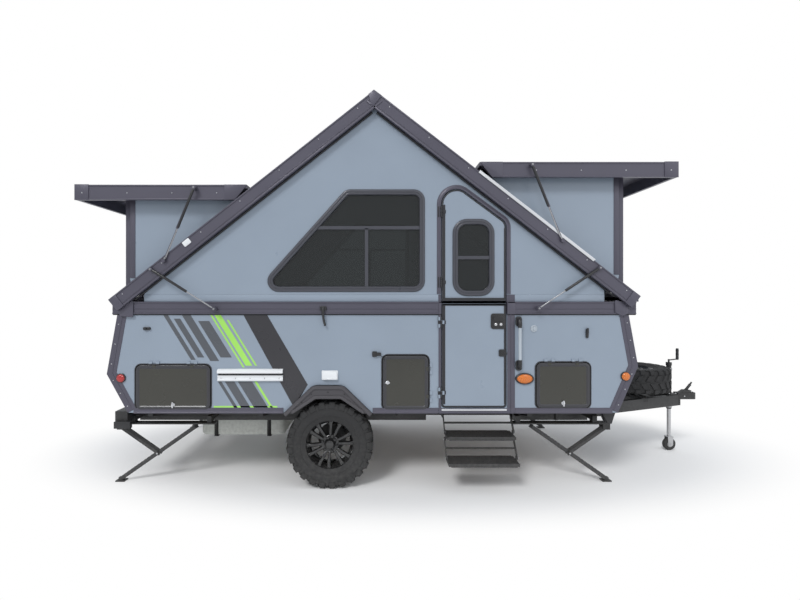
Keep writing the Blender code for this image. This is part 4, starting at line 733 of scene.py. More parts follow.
@shared("Fastener Heads", "GeometryNodeTree", [
    ("Places", "NodeSocketGeometry", None), ("Head Radius", "NodeSocketFloat", 0.006),
    ("Head Height", "NodeSocketFloat", 0.003), ("Top Share", "NodeSocketFloat", 0.6),
    ("Sides", "NodeSocketInt", 12), ("Finish", "NodeSocketMaterial", None),
], [("Heads", "NodeSocketGeometry")])
def heads_tree(tree, start, end):
    """Rivet, screw or bolt heads on the points of a mesh, each facing its own way."""
    top = node(tree, "ShaderNodeMath", {
        0: start["Head Radius"], 1: start["Top Share"]}, operation="MULTIPLY")
    head = node(tree, "GeometryNodeMeshCone", {
        "Vertices": start["Sides"], "Radius Top": top,
        "Radius Bottom": start["Head Radius"], "Depth": start["Head Height"]})
    aim = node(tree, "GeometryNodeInputNamedAttribute", {"Name": "aim"}, data_type="FLOAT_VECTOR")
    turn = node(tree, "FunctionNodeAlignRotationToVector", {"Vector": aim}, axis="Z")
    placed = node(tree, "GeometryNodeInstanceOnPoints", {
        "Points": start["Places"], "Instance": head.outputs["Mesh"], "Rotation": turn})
    real = node(tree, "GeometryNodeRealizeInstances", {0: placed})
    dressed = node(tree, "GeometryNodeSetMaterial", {"Geometry": real, "Material": start["Finish"]})
    tree.links.new(dressed.outputs[0], end["Heads"])


def heads(name, spots, radius, height, finish, body, sides=12, top=0.6):
    """One piece of fastener heads at (point, way out) spots."""
    mesh = bpy.data.meshes.new(name)
    mesh.from_pydata([(p[0] + AXLE_X, p[1], p[2]) for p, _ in spots], [], [])
    aim = mesh.attributes.new("aim", "FLOAT_VECTOR", "POINT")
    aim.data.foreach_set("vector", [value for _, way in spots for value in way])
    return grown(name, mesh, heads_tree(), {
        "Head Radius": radius, "Head Height": height, "Top Share": top, "Sides": sides,
        "Finish": finish_of(finish)}, body)


def bolts(name, spots, radius, height, body):
    """Zinc-plated hexagon heads."""
    return heads(name, spots, radius, height, "zinc", body, 6, 0.9)


@shared("Tread Blocks", "GeometryNodeTree", [
    ("Carcass", "NodeSocketGeometry", None), ("Block", "NodeSocketObject", None),
    ("Pitches", "NodeSocketInt", 24), ("Finish", "NodeSocketMaterial", None),
], [("Tyre", "NodeSocketGeometry")])
def tread_tree(tree, start, end):
    """A tyre's carcass with its tread blocks set round it, half a pitch apart on the two sides."""
    block_info = node(tree, "GeometryNodeObjectInfo", {"Object": start["Block"]})
    index = node(tree, "GeometryNodeInputIndex")
    points = node(tree, "GeometryNodePoints", {"Count": start["Pitches"]})
    joined = node(tree, "GeometryNodeJoinGeometry")
    tree.links.new(start["Carcass"], joined.inputs[0])
    for side, shift in ((1, 0.0), (-1, 0.5)):
        moved = node(tree, "ShaderNodeMath", {0: index, 1: shift}, operation="ADD")
        share = node(tree, "ShaderNodeMath", {0: moved, 1: start["Pitches"]}, operation="DIVIDE")
        angle = node(tree, "ShaderNodeMath", {0: share, 1: math.tau}, operation="MULTIPLY")
        euler = node(tree, "ShaderNodeCombineXYZ", {"Z": angle})
        turn = node(tree, "FunctionNodeEulerToRotation", {0: euler})
        placed = node(tree, "GeometryNodeInstanceOnPoints", {
            "Points": points, "Instance": block_info.outputs["Geometry"],
            "Rotation": turn, "Scale": (1, 1, side)})
        real = node(tree, "GeometryNodeRealizeInstances", {0: placed})
        half = real.outputs[0]
        if side < 0:
            half = node(tree, "GeometryNodeFlipFaces", {0: half}).outputs[0]
        tree.links.new(half, joined.inputs[0])
    dressed = node(tree, "GeometryNodeSetMaterial", {"Geometry": joined, "Material": start["Finish"]})
    tree.links.new(dressed.outputs[0], end["Tyre"])


# Operators

class Piece(bpy.types.Operator):
    """Base of the operators: build() makes the pieces."""
    bl_options = {"INTERNAL"}

    def execute(self, context):
        self.build()
        return {"FINISHED"}


class CamperSurfaces(Piece):
    """Gives each carried-over CAD node its finish."""
    bl_idname = "camper.surfaces"
    bl_label = "Surfaces"

    def build(self):
        wanted = {
            "panel": ["side_wall", "end_wall", "gable_near", "gable_far", "door_upper", "door_lower",
                      "dormer_side", "dormer_wall"],
            "trim": ["belt_rail", "roof", "dormer_lid"],
            "chassis": ["axle", "chassis", "coupler", "jack_tube", "stabiliser", "step"],
            "moulding": ["baggage_door"],
            "fender": ["fender"],
            "zinc": ["jack_leg"],
            "tank": ["water_tank"],
            "wood": ["bed_base", "dinette", "floor", "galley"],
            "rubber": ["jack_wheel", "tyre", "spare_tyre"],
            "wheel": ["wheel", "spare_wheel"],
            "glass": ["gable_window", "door_window", "dormer_window"],
            "cloth": ["bed_base_cushion", "dinette_cushion"],
        }
        for item_name, item in frame["nodes"].items():
            best = ""
            for finish, starts in wanted.items():
                for head in starts:
                    if item_name.startswith(head) and len(head) > len(best):
                        best, chosen = head, finish
            item.data.materials.clear()
            item.data.materials.append(finish_of(chosen))


class CamperTyres(Piece):
    """Mud-terrain tyres with blocks of tread that lap over the shoulders."""
    bl_idname = "camper.tyres"
    bl_label = "Tyres"

    def build(self):
        template = self.tread_block()
        for name, place, body in wheel_places():
            form = Form()
            outer = [(0.2065, 0.1), (0.218, 0.107), (0.24, 0.109), (0.262, 0.1165), (0.3, 0.1175),
                     (0.33, 0.114), (0.35, 0.104), (0.357, 0.085), (0.36, 0.045)]
            inner = [(0.335, 0.08), (0.3, 0.095), (0.212, 0.08)]
            half = inner + outer
            profile = outer + [(0.36, 0.0)] + [(r, -h) for r, h in half[::-1]] + inner
            lathe(form, profile, *HUB, 75, True)
            for side in (-1, 1):
                for radius, height in ((0.252, 0.1135), (0.312, 0.1172)):
                    lathe(form, [(radius - 0.004, side * (height - 0.004)),
                                 (radius - 0.002, side * (height + 0.0015)),
                                 (radius + 0.002, side * (height + 0.0015)),
                                 (radius + 0.004, side * (height - 0.004))], *HUB, 75, True)
            label = {"wheel_near": "tyre_near", "wheel_far": "tyre_far", "spare_wheel": "spare_tyre"}[name]
            tread = {"Block": template, "Pitches": sizes().tread_pitches, "Finish": finish_of("rubber")}
            item = grown(f"mud_{label}", mesh_of(form, "carcass"), tread_tree(), tread, None)
            item.data.transform(place)
            settle(item, body)
            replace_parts(item, label)
        bpy.data.objects.remove(template)

    def tread_block(self):
        """One pitch of one side's tread: a shoulder block, a middle block and a sidewall biter."""
        form = Form()
        pitch = math.tau / sizes().tread_pitches

        def lump(sections, half_low, half_high, middle, skew):
            """A block through (axial, low radius, high radius) sections."""
            rows = []
            for w, low, high in sections:
                lean = middle + skew * w
                corners = ((low, half_low, -1), (high, half_high, -1), (high, half_high, 1),
                           (low, half_low, 1))
                rows.append([(radius * math.cos(lean + side * half / radius),
                              radius * math.sin(lean + side * half / radius), w)
                             for radius, half, side in corners])
            grid_of(form, rows)

        lump([(0.074, 0.355, 0.37), (0.078, 0.355, 0.3718), (0.102, 0.348, 0.3695), (0.1165, 0.33, 0.352),
              (0.118, 0.318, 0.319)], 0.027, 0.023, 0.0, 0.0)
        lump([(0.067, 0.356, 0.3714), (0.04, 0.356, 0.372), (0.016, 0.356, 0.372),
              (0.012, 0.356, 0.3702)], 0.026, 0.022, pitch * 0.42, 1.6)
        lump([(0.112, 0.328, 0.344), (0.1175, 0.326, 0.337), (0.1195, 0.305, 0.313)], 0.011, 0.009,
             pitch * 0.5, 0.0)
        return linked("tread_block", mesh_of(form, "tread_block"))


def wheel_places():
    """Each wheel's CAD node, its place from lying face up at the origin, and its body."""
    places = []
    for name, sign in (("wheel_near", -1), ("wheel_far", 1)):
        low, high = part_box(name.replace("wheel", "tyre"))
        turn = Matrix.Rotation(math.radians(-90 * sign), 4, "X")
        places.append((name, Matrix.Translation((low + high) / 2) @ turn, name))
    low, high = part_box("spare_tyre")
    places.append(("spare_wheel", Matrix.Translation((low + high) / 2), "trailer"))
    return places


class CamperWheels(Piece):
    """Gloss black wheels with six pairs of spokes, a cap and lug nuts."""
    bl_idname = "camper.wheels"
    bl_label = "Wheels"

    def build(self):
        for name, place, body in wheel_places():
            form = Form()
            barrel = [(0.205, 0.098), (0.2115, 0.1), (0.212, 0.094), (0.206, 0.086), (0.2045, 0.07),
                      (0.186, 0.05), (0.181, 0.02), (0.181, -0.05), (0.2045, -0.078), (0.206, -0.09),
                      (0.212, -0.097), (0.205, -0.1), (0.196, -0.094), (0.176, -0.056), (0.173, -0.05),
                      (0.173, 0.022), (0.178, 0.046), (0.194, 0.066), (0.199, 0.09)]
            lathe(form, barrel, *HUB, 60, True)
            lathe(form, [(0.0, 0.03), (0.07, 0.03), (0.078, 0.036), (0.08, 0.058), (0.07, 0.066),
                         (0.046, 0.062), (0.04, 0.058), (0.0, 0.058)], *HUB, 48)
            lathe(form, [(0.0, 0.05), (0.034, 0.05), (0.036, 0.086), (0.033, 0.091), (0.026, 0.094),
                         (0.0, 0.095)], *HUB, 36)
            lathe(form, [(0.0, -0.04), (0.06, -0.04), (0.064, -0.036), (0.066, 0.032), (0.0, 0.032)],
                  *HUB, 32)
            for index in range(SPOKE_PAIRS):
                middle = math.tau * (index + 0.25) / SPOKE_PAIRS
                for side in (-1, 1):
                    rows = []
                    for radius, offset, half, low, high in (
                        (0.06, 0.014, 0.014, 0.034, 0.064), (0.09, 0.019, 0.015, 0.044, 0.074),
                        (0.13, 0.027, 0.016, 0.052, 0.082), (0.165, 0.035, 0.0175, 0.056, 0.084),
                        (0.188, 0.041, 0.0195, 0.05, 0.078), (0.2, 0.044, 0.0205, 0.06, 0.082),
                    ):
                        ring = []
                        for across, height in ((-half, low), (-half * 0.75, high - 0.004),
                                               (-half * 0.45, high), (half * 0.45, high),
                                               (half * 0.75, high - 0.004), (half, low)):
                            t = middle + (side * offset + across) / radius
                            ring.append((radius * math.cos(t), radius * math.sin(t), height))
                        rows.append(ring)
                    grid_of(form, rows)
            item = make(form, f"spoked_{name}", "wheel", bevel=0.0012)
            item.parent = None
            item.data.transform(Matrix.Translation((-AXLE_X, 0, 0)))
            item.data.transform(place)
            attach(item, body)
            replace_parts(item, name)
            spots = []
            for index in range(LUG_NUTS):
                t = math.tau * (index + 0.75) / LUG_NUTS
                point = place @ Vector((0.057 * math.cos(t), 0.057 * math.sin(t), 0.068))
                way = place.to_3x3() @ Vector((0, 0, 1))
                spots.append(((point.x - AXLE_X, point.y, point.z), tuple(way)))
            heads(f"lug_nuts_{name}", spots, 0.0105, 0.018, "black", body, 6, 0.85)
            stem = Form()
            ends = [place @ Vector((0.172, 0.045, 0.05)), place @ Vector((0.168, 0.044, 0.088))]
            tube(stem, [(p.x - AXLE_X, p.y, p.z) for p in ends], 0.0045, 10)
            make(stem, f"valve_{name}", "black", body)


# A window's frame: (inwards from the hole's edge, out from the outer skin)
WINDOW_PROFILE = [(-0.013, 0.0), (-0.013, 0.005), (-0.009, 0.01), (-0.001, 0.013), (0.009, 0.013),
                  (0.014, 0.008), (0.017, 0.008), (0.021, 0.011), (0.03, 0.01), (0.034, 0.004),
                  (0.034, -0.022), (0.002, -0.022), (0.002, 0.0)]


def window(name, corners, radius, face, outward, across, thick, bars, body, cad_node, proud=1.0):
    """A window: an eased frame round its hole, bars, an inner ring and the pane."""
    form = Form()
    ring = rounded(corners, radius, 8)
    sweep(form, ring, [(a, max(b, 0.0) * proud + min(b, 0.0)) for a, b in WINDOW_PROFILE], face, outward,
          across)
    back = face - outward * thick
    sweep(form, ring, [(-0.012, 0.0), (-0.012, 0.006), (0.03, 0.008), (0.03, -0.012), (0.002, -0.012),
                       (0.002, 0.0)], back, -outward, across)
    for kind, at, low, high in bars:
        half = 0.014
        edge = {"level": rect(low, high, at - half, at + half),
                "upright": rect(at - half, at + half, low, high)}[kind]
        prism(form, edge, face + outward * 0.005 * proud, face - outward * 0.022, across)
    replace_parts(make(form, f"{name}_frame", "window_frame", body, smooth=40), cad_node)
    pane = Form()
    prism(pane, shrunk(ring, 0.026), face - outward * 0.01, face - outward * 0.016, across)
    make(pane, f"{name}_pane", "glass", body)


class CamperWindows(Piece):
    """The gable, door and dormer windows."""
    bl_idname = "camper.windows"
    bl_label = "Windows"

    def build(self):
        self.panels()
        bars = [("level", 2.224, -0.125, 0.785), ("upright", 0.315, 1.705, 2.22)]
        window("near_window", GABLE_WINDOW, WINDOW_R, -GABLE_Y, -1, "Y", 0.035, bars, "gable_near",
               "gable_window_near")
        window("far_window", GABLE_WINDOW, WINDOW_R, GABLE_Y, 1, "Y", 0.035, bars, "gable_far",
               "gable_window_far")
        window("door_glazing", DOOR_WINDOW, DOOR_WINDOW_R, LEAF_Y[0], -1, "Y", 0.035,
               [("level", 1.97, 1.07, 1.38)], "door_upper", "door_window")
        for name in UP:
            eave, up = EAVES[name], UP[name]
            wall_x = DORMER_WALL[name]
            slope = (PEAK[1] - eave[1]) / abs(PEAK[0] - eave[0])
            low = eave[1] + abs(wall_x - eave[0]) * slope + DORMER_WINDOW_SET
            high = LID[name][2] - DORMER_WINDOW_SET
            ring = rect(-DORMER_WINDOW_HALF, DORMER_WINDOW_HALF, low, high)
            window(f"dormer_{name}_window", ring, 0.06, wall_x, -up, "X", 0.05,
                   [("upright", 0.0, low, high)], f"dormer_wall_{name}", f"dormer_window_{name}",
                   DORMER_FRAME)

    def panels(self):
        """The gables and the upper leaf, cut to the outlines of their windows and the door's head."""
        x0, x1 = GABLE_X
        for label, sign in SIDES:
            foot = GABLE_FOOT[label]
            head = []
            if sign < 0:
                corners = [(DOOR_X[0], foot), *DOOR_TOP, (DOOR_X[1], foot)]
                head = rounded(corners, [0, *DOOR_TOP_R, 0], 7)
            outline = [(x0, foot), *head, (x1, foot), (x1, gable_top(x1)), (PEAK[0], gable_top(PEAK[0])),
                       (x0, gable_top(x0))]
            form = Form()
            pierced(form, [outline, rounded(GABLE_WINDOW, WINDOW_R, 8)], sign * GABLE_IN, sign * GABLE_Y)
            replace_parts(make(form, f"gable_panel_{label}", "panel", f"gable_{label}"), f"gable_{label}")
        leaf = Form()
        pierced(leaf, [upper_leaf(0.0), rounded(DOOR_WINDOW, DOOR_WINDOW_R, 8)], *LEAF_Y)
        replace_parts(make(leaf, "upper_leaf", "panel", "door_upper"), "door_upper")


def upper_leaf(inset):
    """The upper leaf's edge, a clearance inside its opening."""
    corners = [(DOOR_X[0], 1.596), (DOOR_X[1], 1.596), *DOOR_TOP[::-1]]
    return shrunk(rounded(corners, [0, 0, *DOOR_TOP_R[::-1]], 7), 0.006 + inset)


class CamperTrims(Piece):
    """The dark extrusions round the box, the belt, the doors and the roof halves."""
    bl_idname = "camper.trims"
    bl_label = "Trims"

    def build(self):
        thin = sizes().trim_skin
        for name, path in BOX_END.items():
            for label, sign in SIDES:
                form = Form()
                wide = sizes().end_trim
                way = 1 if name == "rear" else -1
                profile = [(-thin, thin), (wide - 0.002, thin), (wide, thin - 0.002), (wide, 0.0),
                           (0.0, 0.0), (0.0, -0.055), (-thin, -0.055)]
                profile = [(a * way, b) for a, b in profile]
                sweep(form, path, profile, sign * WALL_Y, sign, "Y", False)
                groove = [(a * way, b) for a, b in strip(0.006, 0.0025, 0.3, wide * 0.5)]
                sweep(form, path, [(a, b + thin) for a, b in groove], sign * WALL_Y, sign, "Y", False)
                make(form, f"end_trim_{name}_{label}", "trim", smooth=25)
        self.sills()
        self.belt()
        self.roof_edges()
        self.dormers()
        self.corners()

    def sills(self):
        """The dark sill below the walls, split round the fenders and the door."""
        for label, sign in SIDES:
            form = Form()
            spans = [(-1.665, -0.392), (0.367, 2.405)]
            if sign < 0:
                spans = [(-1.665, -0.392), (0.367, 0.926), (1.578, 2.405)]
            for x0, x1 in spans:
                path = [(x0, SILL_Z - 0.006), (x1, SILL_Z - 0.006)]
                sweep(form, path, [(0, 0), (0, 0.006), (0.01, 0.009), (0.016, 0.006), (0.044, 0.005),
                                   (0.048, 0.0)], sign * WALL_Y, sign, "Y", False)
            make(form, f"sill_{label}", "trim", smooth=25)

    def belt(self):
        """Lips and a bead along the belt rail."""
        for label, sign in SIDES:
            form = Form()
            spans = [(-1.84, 0.948), (1.51, 2.602)] if sign < 0 else [(-1.84, 2.602)]
            for x0, x1 in spans:
                for z, tall, proud in ((BELT_TOP - 0.012, 0.012, 0.006), (BELT_LOW, 0.01, 0.005),
                                       (BELT_LOW + 0.04, 0.006, 0.003)):
                    sweep(form, [(x0, z), (x1, z)], strip(tall, proud), sign * BELT_Y, sign, "Y", False)
            make(form, f"belt_lips_{label}", "trim", smooth=25)
            seal = Form()
            for x0, x1 in spans:
                tube(seal, [(x, sign * (WALL_Y + 0.004), BELT_LOW - 0.004) for x in (x0, x1)], 0.0055, 8)
            make(seal, f"belt_seal_{label}", "seal")
        skin = Form()
        for x0, x1 in ((GABLE_X[0], 0.926), (1.578, GABLE_X[1])):
            block(skin, x0, x1, -GABLE_Y - 0.0028, -GABLE_Y - 0.0002, BELT_TOP + 0.0002,
                  GABLE_FOOT["near"] - 0.001)
        make(skin, "riser_skin", "panel", bevel=0.0006)

    def roof_edges(self):
        """Lips on the roof halves' skirts, dark tubes under them as painted shadow, and the caps at their
        ends.
        """
        for name in UP:
            size = roof_length(name)
            for label, sign in SIDES:
                form = Form()
                for height, tall, proud in ((-0.008, 0.012, 0.005), (-0.115, 0.014, 0.005),
                                            (-0.092, 0.004, 0.003)):
                    ring = on_roof(name, 0.01, size - 0.004, height, height + tall)
                    prism(form, ring, sign * (SKIRT_Y - 0.001), sign * (SKIRT_Y + proud))
                cap = on_roof(name, -0.002, 0.07, -0.117, 0.004)
                prism(form, cap, sign * (SKIRT_Y - 0.001), sign * (SKIRT_Y + 0.007))
                make(form, f"skirt_lips_{name}_{label}", "trim", bevel=0.0012)
                # A dark tube against the gable, just under the skirt's lower lip: painted shadow of the
                # proud roof beam.
                seal = Form()
                path = [along_roof(name, 0.16, -0.121), along_roof(name, size - 0.12, -0.121)]
                tube(seal, [(x, sign * (GABLE_Y + 0.01), z) for x, z in path], 0.009, 8)
                make(seal, f"gable_seal_{name}_{label}", "seal")
        form = Form()
        rear, front = roof_length("rear") - 0.1, roof_length("front") - 0.1
        peak = [along_roof("rear", rear, 0.001), along_roof("rear", rear, 0.004),
                (PEAK[0], PEAK[1] + 0.0065), along_roof("front", front, 0.004),
                along_roof("front", front, 0.001), (PEAK[0], PEAK[1] + 0.001)]
        prism(form, peak, -SKIRT_Y, SKIRT_Y)
        for sign in (-1, 1):
            ring = [along_roof("front", roof_length("front") - 0.075, -0.112),
                    (PEAK[0] - 0.028, PEAK[1] - 0.118), (PEAK[0] - 0.05, PEAK[1] - 0.03),
                    (PEAK[0] - 0.004, PEAK[1] + 0.006),
                    along_roof("front", roof_length("front") - 0.075, 0.004)]
            prism(form, ring, sign * (SKIRT_Y + 0.001), sign * (SKIRT_Y + 0.008))
        make(form, "ridge_cap", "trim", bevel=0.001)
        rail = Form()
        s0, s1 = up_roof("front", 2.231), up_roof("front", 1.262)
        ring = on_roof("front", s0, s1, 0.003, 0.017)
        prism(rail, ring, -SKIRT_Y - 0.004, -SKIRT_Y + 0.018)
        lip = on_roof("front", s0 + 0.006, s1, -0.01, 0.004)
        prism(rail, lip, -SKIRT_Y - 0.009, -SKIRT_Y - 0.004)
        make(rail, "awning_rail", "alloy", bevel=0.0012)

    def dormers(self):
        """Lips and end caps on the lids, and the posts and edge strips of the dormers."""
        for name in UP:
            up = UP[name]
            far, _, top = LID[name]
            for label, sign in SIDES:
                form = Form()
                x0, x1 = sorted((far + up * 0.004, FLANGE_END[name]))
                for z, tall, proud in ((top - 0.014, 0.012, 0.004), (top - 0.129, 0.012, 0.004)):
                    block(form, x0, x1, sign * (LID_Y - 0.001), sign * (LID_Y + proud), z, z + tall)
                cap0, cap1 = sorted((far - up * 0.004, far + up * 0.115))
                block(form, cap0, cap1, sign * (LID_Y - 0.001), sign * (LID_Y + 0.006), top - 0.131,
                      top + 0.003)
                end = FLANGE_END[name]
                hip = [(end, top - 0.128), (end + up * 0.095, top - 0.012), (end + up * 0.095, top + 0.001),
                       (end - up * 0.09, top + 0.001), (end - up * 0.09, top - 0.128)]
                prism(form, hip, sign * (LID_Y - 0.03), sign * (LID_Y + 0.005))
                make(form, f"lid_edges_{name}_{label}", "trim", bevel=0.0012)
                wall_x = DORMER_WALL[name]
                post = Form()
                foot = EAVES[name][1] + abs(wall_x - EAVES[name][0]) * ROOF_SLOPE + 0.035
                p0, p1 = sorted((wall_x - up * 0.004, wall_x + up * 0.0495))
                block(post, p0, p1, sign * 0.8, sign * 0.884, foot, top - 0.038)
                make(post, f"dormer_post_{name}_{label}", "trim", f"dormer_wall_{name}", 0.002)
                edge = Form()
                start = wall_x + up * 0.057
                e0, e1 = sorted((start, start + up * 0.045))
                low = EAVES[name][1] + abs(start - EAVES[name][0]) * ROOF_SLOPE + 0.105
                block(edge, e0, e1, sign * SIDE_Y, sign * (SIDE_Y + 0.004), low, top - 0.04)
                block(edge, start, FLANGE_END[name], sign * SIDE_Y, sign * (SIDE_Y + 0.003),
                      top - 0.052, top - 0.038)
                s0, s1 = up_roof(name, start) + 0.035, up_roof(name, FLANGE_END[name])
                ring = on_roof(name, s0, s1, 0.002, 0.022)
                prism(edge, ring, sign * SIDE_Y, sign * (SIDE_Y + 0.003))
                make(edge, f"dormer_edge_{name}_{label}", "trim", f"dormer_side_{name}_{label}", 0.001)

    def corners(self):
        """The dark brackets between the belt and the eaves, and the mud brackets in front."""
        rings = {
            "rear": [(-1.792, 1.545), (-1.66, 1.612), (-1.66, 1.462), (-1.772, 1.474)],
            "front": [(2.415, 1.612), (2.524, 1.582), (2.533, 1.495), (2.48, 1.474), (2.42, 1.503)],
        }
        for name, ring in rings.items():
            form = Form()
            for sign in (-1, 1):
                prism(form, rounded(ring, 0.012, 2), sign * (BELT_Y - 0.002), sign * (BELT_Y + 0.012))
            make(form, f"corner_brackets_{name}", "trim", bevel=0.002)
        form = Form()
        for sign in (-1, 1):
            prism(form, [(2.33, 0.649), (2.452, 0.649), (2.418, 0.545), (2.385, 0.545)],
                  sign * 0.9, sign * 0.985)
        make(form, "mud_brackets", "black", bevel=0.004)


class CamperRivets(Piece):
    """Rivets along the trims, the lids and the roof edges."""
    bl_idname = "camper.rivets"
    bl_label = "Rivets"

    def build(self):
        radius = sizes().rivet
        spots = []
        for name, path in BOX_END.items():
            way = 1 if name == "rear" else -1
            for sign in (-1, 1):
                for (x0, z0), (x1, z1) in zip(path, path[1:]):
                    steps = 3
                    for k in range(steps):
                        share = (k + 0.5) / steps
                        spots.append(((x0 + (x1 - x0) * share + way * 0.022, sign * (WALL_Y + 0.0045),
                                       z0 + (z1 - z0) * share), (0, sign, 0)))
        for name in UP:
            for sign in (-1, 1):
                for k in range(7):
                    x, z = along_roof(name, 0.12 + k * 0.42, -0.03)
                    spots.append(((x, sign * (SKIRT_Y + 0.001), z), (0, sign, 0)))
                far, _, top = LID[name]
                for k in range(4):
                    x = far + UP[name] * (0.06 + k * 0.38)
                    spots.append(((x, sign * (LID_Y + (0.0015 if k else 0.0065)), top - 0.07), (0, sign, 0)))
        heads("trim_rivets", spots, radius * 0.8, 0.003, "alloy", "trailer")


class CamperDoors(Piece):
    """The entry door's frame, seals, lock, latch and threshold."""
    bl_idname = "camper.doors"
    bl_label = "Entry door"

    def build(self):
        head = rounded([(DOOR_X[0], 1.66), *DOOR_TOP, (DOOR_X[1], 1.66)], [0, *DOOR_TOP_R, 0], 7)
        form = Form()
        sweep(form, head, [(0.0, 0.0), (0.0, 0.006), (0.004, 0.009), (0.016, 0.009), (0.022, 0.005),
                           (0.034, 0.004), (0.036, 0.0)], -GABLE_Y, -1, "Y", False)
        make(form, "door_head_frame", "trim", "gable_near", smooth=30)
        form = Form()
        for x0, x1 in ((DOOR_FRAME[0], 0.9495), (1.5115, DOOR_FRAME[1])):
            block(form, x0, x1, -WALL_Y - 0.006, -WALL_Y, SILL_Z - 0.004, BELT_LOW)
            block(form, x0, x1, -BELT_Y - 0.006, -BELT_Y + 0.001, BELT_LOW - 0.001, BELT_TOP + 0.002)
        block(form, 1.538, 1.546, -WALL_Y - 0.01, -WALL_Y - 0.005, SILL_Z, BELT_LOW)
        block(form, *DOOR_FRAME, -WALL_Y - 0.007, -WALL_Y + 0.002, SILL_Z - 0.006, 0.688)
        make(form, "door_pillars", "trim", bevel=0.0015)
        sill = Form()
        block(sill, 0.952, 1.506, -WALL_Y - 0.012, -WALL_Y - 0.002, 0.668, 0.684)
        make(sill, "threshold", "alloy", bevel=0.002)
        leaf = rounded(rect(0.957, 1.501, 0.697, 1.577), [0.024, 0.024, 0.004, 0.004])
        face = LEAF_Y[0]
        for name, ring, x_low, x_high, bar in (("lower", leaf, 1.577, 1.577, (1.56, 1.577)),
                                               ("upper", upper_leaf(0.001), 2.42, 2.22, (1.603, 1.627))):
            form = Form()
            sweep(form, ring, strip(0.011, 0.003), face, -1)
            foot = 0.722 if name == "lower" else 1.603
            block(form, 0.957, 0.985, face - 0.0028, face + 0.0004, foot, x_low)
            block(form, 1.485, 1.501, face - 0.0028, face + 0.0004, foot, x_high)
            block(form, 0.96, 1.498, face - (0.01 if name == "upper" else 0.003), face + 0.001, *bar)
            make(form, f"{name}_leaf_edge", "seal", f"door_{name}")
        pin = (DOOR_X[0], DOOR_PIN_Y)
        leaves = (("upper", GABLE_Y, "gable_near"), ("lower", WALL_Y, "trailer"))
        for name, _, body in leaves:
            sleeves(f"{name}_hinges", [(*pin, z) for z in DOOR_PINS[name]], (0, 0, 1), 0.0094, body,
                    f"door_{name}")
        for name, face, body in leaves:
            strap, arm = Form(), Form()
            for z in DOOR_PINS[name]:
                block(strap, 0.922, 0.9485, -face - 0.0085, -face, z - 0.046, z + 0.046)
                block(arm, 0.9515, 0.99, LEAF_Y[0] - 0.0045, LEAF_Y[0], z - 0.0145, z + 0.0145)
            make(strap, f"{name}_hinge_straps", "seal", body, 0.001)
            make(arm, f"{name}_hinge_arms", "seal", f"door_{name}", 0.001)
        self.lock()

    def lock(self):
        """The paddle lock and the second latch on the lower leaf."""
        form = Form()
        for x0, x1, z0, z1, radius, y0, y1 in ((1.372, 1.496, 1.362, 1.494, 0.022, -1.02, -1.011),
                                               (1.384, 1.484, 1.374, 1.482, 0.016, -1.024, -1.019),
                                               (1.392, 1.476, 1.432, 1.474, 0.01, -1.034, -1.023),
                                               (1.44, 1.498, 1.128, 1.188, 0.012, -1.022, -1.011)):
            prism(form, rounded(rect(x0, x1, z0, z1), radius), y0, y1)
        block(form, 1.452, 1.506, -1.03, -1.021, 1.15, 1.166)
        make(form, "door_lock", "black", "door_lower", 0.0015)
        key = Form()
        for x in (1.412, 1.456):
            lathe(key, [(0.0, 0.0), (0.012, 0.0), (0.012, 0.006), (0.009, 0.008), (0.0, 0.008)],
                  (x, -1.024, 1.402), (0, -1, 0), 20)
        make(key, "lock_barrels", "zinc", "door_lower")


class CamperBaggage(Piece):
    """Moulded frames, ribs and turn latches of the baggage doors."""
    bl_idname = "camper.baggage"
    bl_label = "Baggage doors"

    def build(self):
        for name, (x0, x1, z0, z1) in BAGGAGE.items():
            ring = rounded(rect(x0, x1, z0, z1), 0.05, 7)
            form = Form()
            sweep(form, ring, [(-0.008, 0.0), (-0.007, 0.003), (-0.005, 0.005), (-0.001, 0.005),
                               (0.001, 0.003), (0.001, -0.012), (-0.001, -0.012), (-0.001, 0.0)], -WALL_Y,
                  -1)
            make(form, f"baggage_bezel_{name}", "bezel", smooth=30)
            leaf = Form()
            inner = rounded(rect(x0 + 0.007, x1 - 0.007, z0 + 0.007, z1 - 0.007), 0.043, 7)
            sweep(leaf, inner, [(0.0, 0.0), (0.001, 0.003), (0.004, 0.0045), (0.022, 0.0045), (0.028, 0.001),
                                (0.03, 0.0)], -WALL_Y - 0.004, -1)
            make(leaf, f"baggage_rim_{name}", "bezel", f"baggage_door_{name}", smooth=30)
            shares = (0.25, 0.75)
            if name == "middle":
                latch_x, latch_z = x0 + 0.046, (z0 + z1) / 2
                spots, axis = [(x1, -1.0225, z0 + (z1 - z0) * share) for share in shares], (0, 0, 1)
            else:
                latch_x, latch_z = (x0 + x1) / 2, z0 + 0.046
                spots, axis = [(x0 + (x1 - x0) * share, -1.0225, z1) for share in shares], (1, 0, 0)
            sleeves(f"baggage_{name}", spots, axis, 0.0068, "trailer", f"baggage_door_{name}")
            latch = Form()
            face = -WALL_Y - 0.004
            lathe(latch, [(0.0, 0.0), (0.016, 0.0), (0.0165, 0.003), (0.014, 0.006), (0.0, 0.007)],
                  (latch_x, face, latch_z), (0, -1, 0), 24)
            wide, tall = (0.02, 0.006) if name == "middle" else (0.006, 0.024)
            block(latch, latch_x - wide, latch_x + wide, face - 0.018, face - 0.006, latch_z - tall,
                  latch_z + tall)
            make(latch, f"turn_latch_{name}", "alloy", f"baggage_door_{name}", 0.0015)


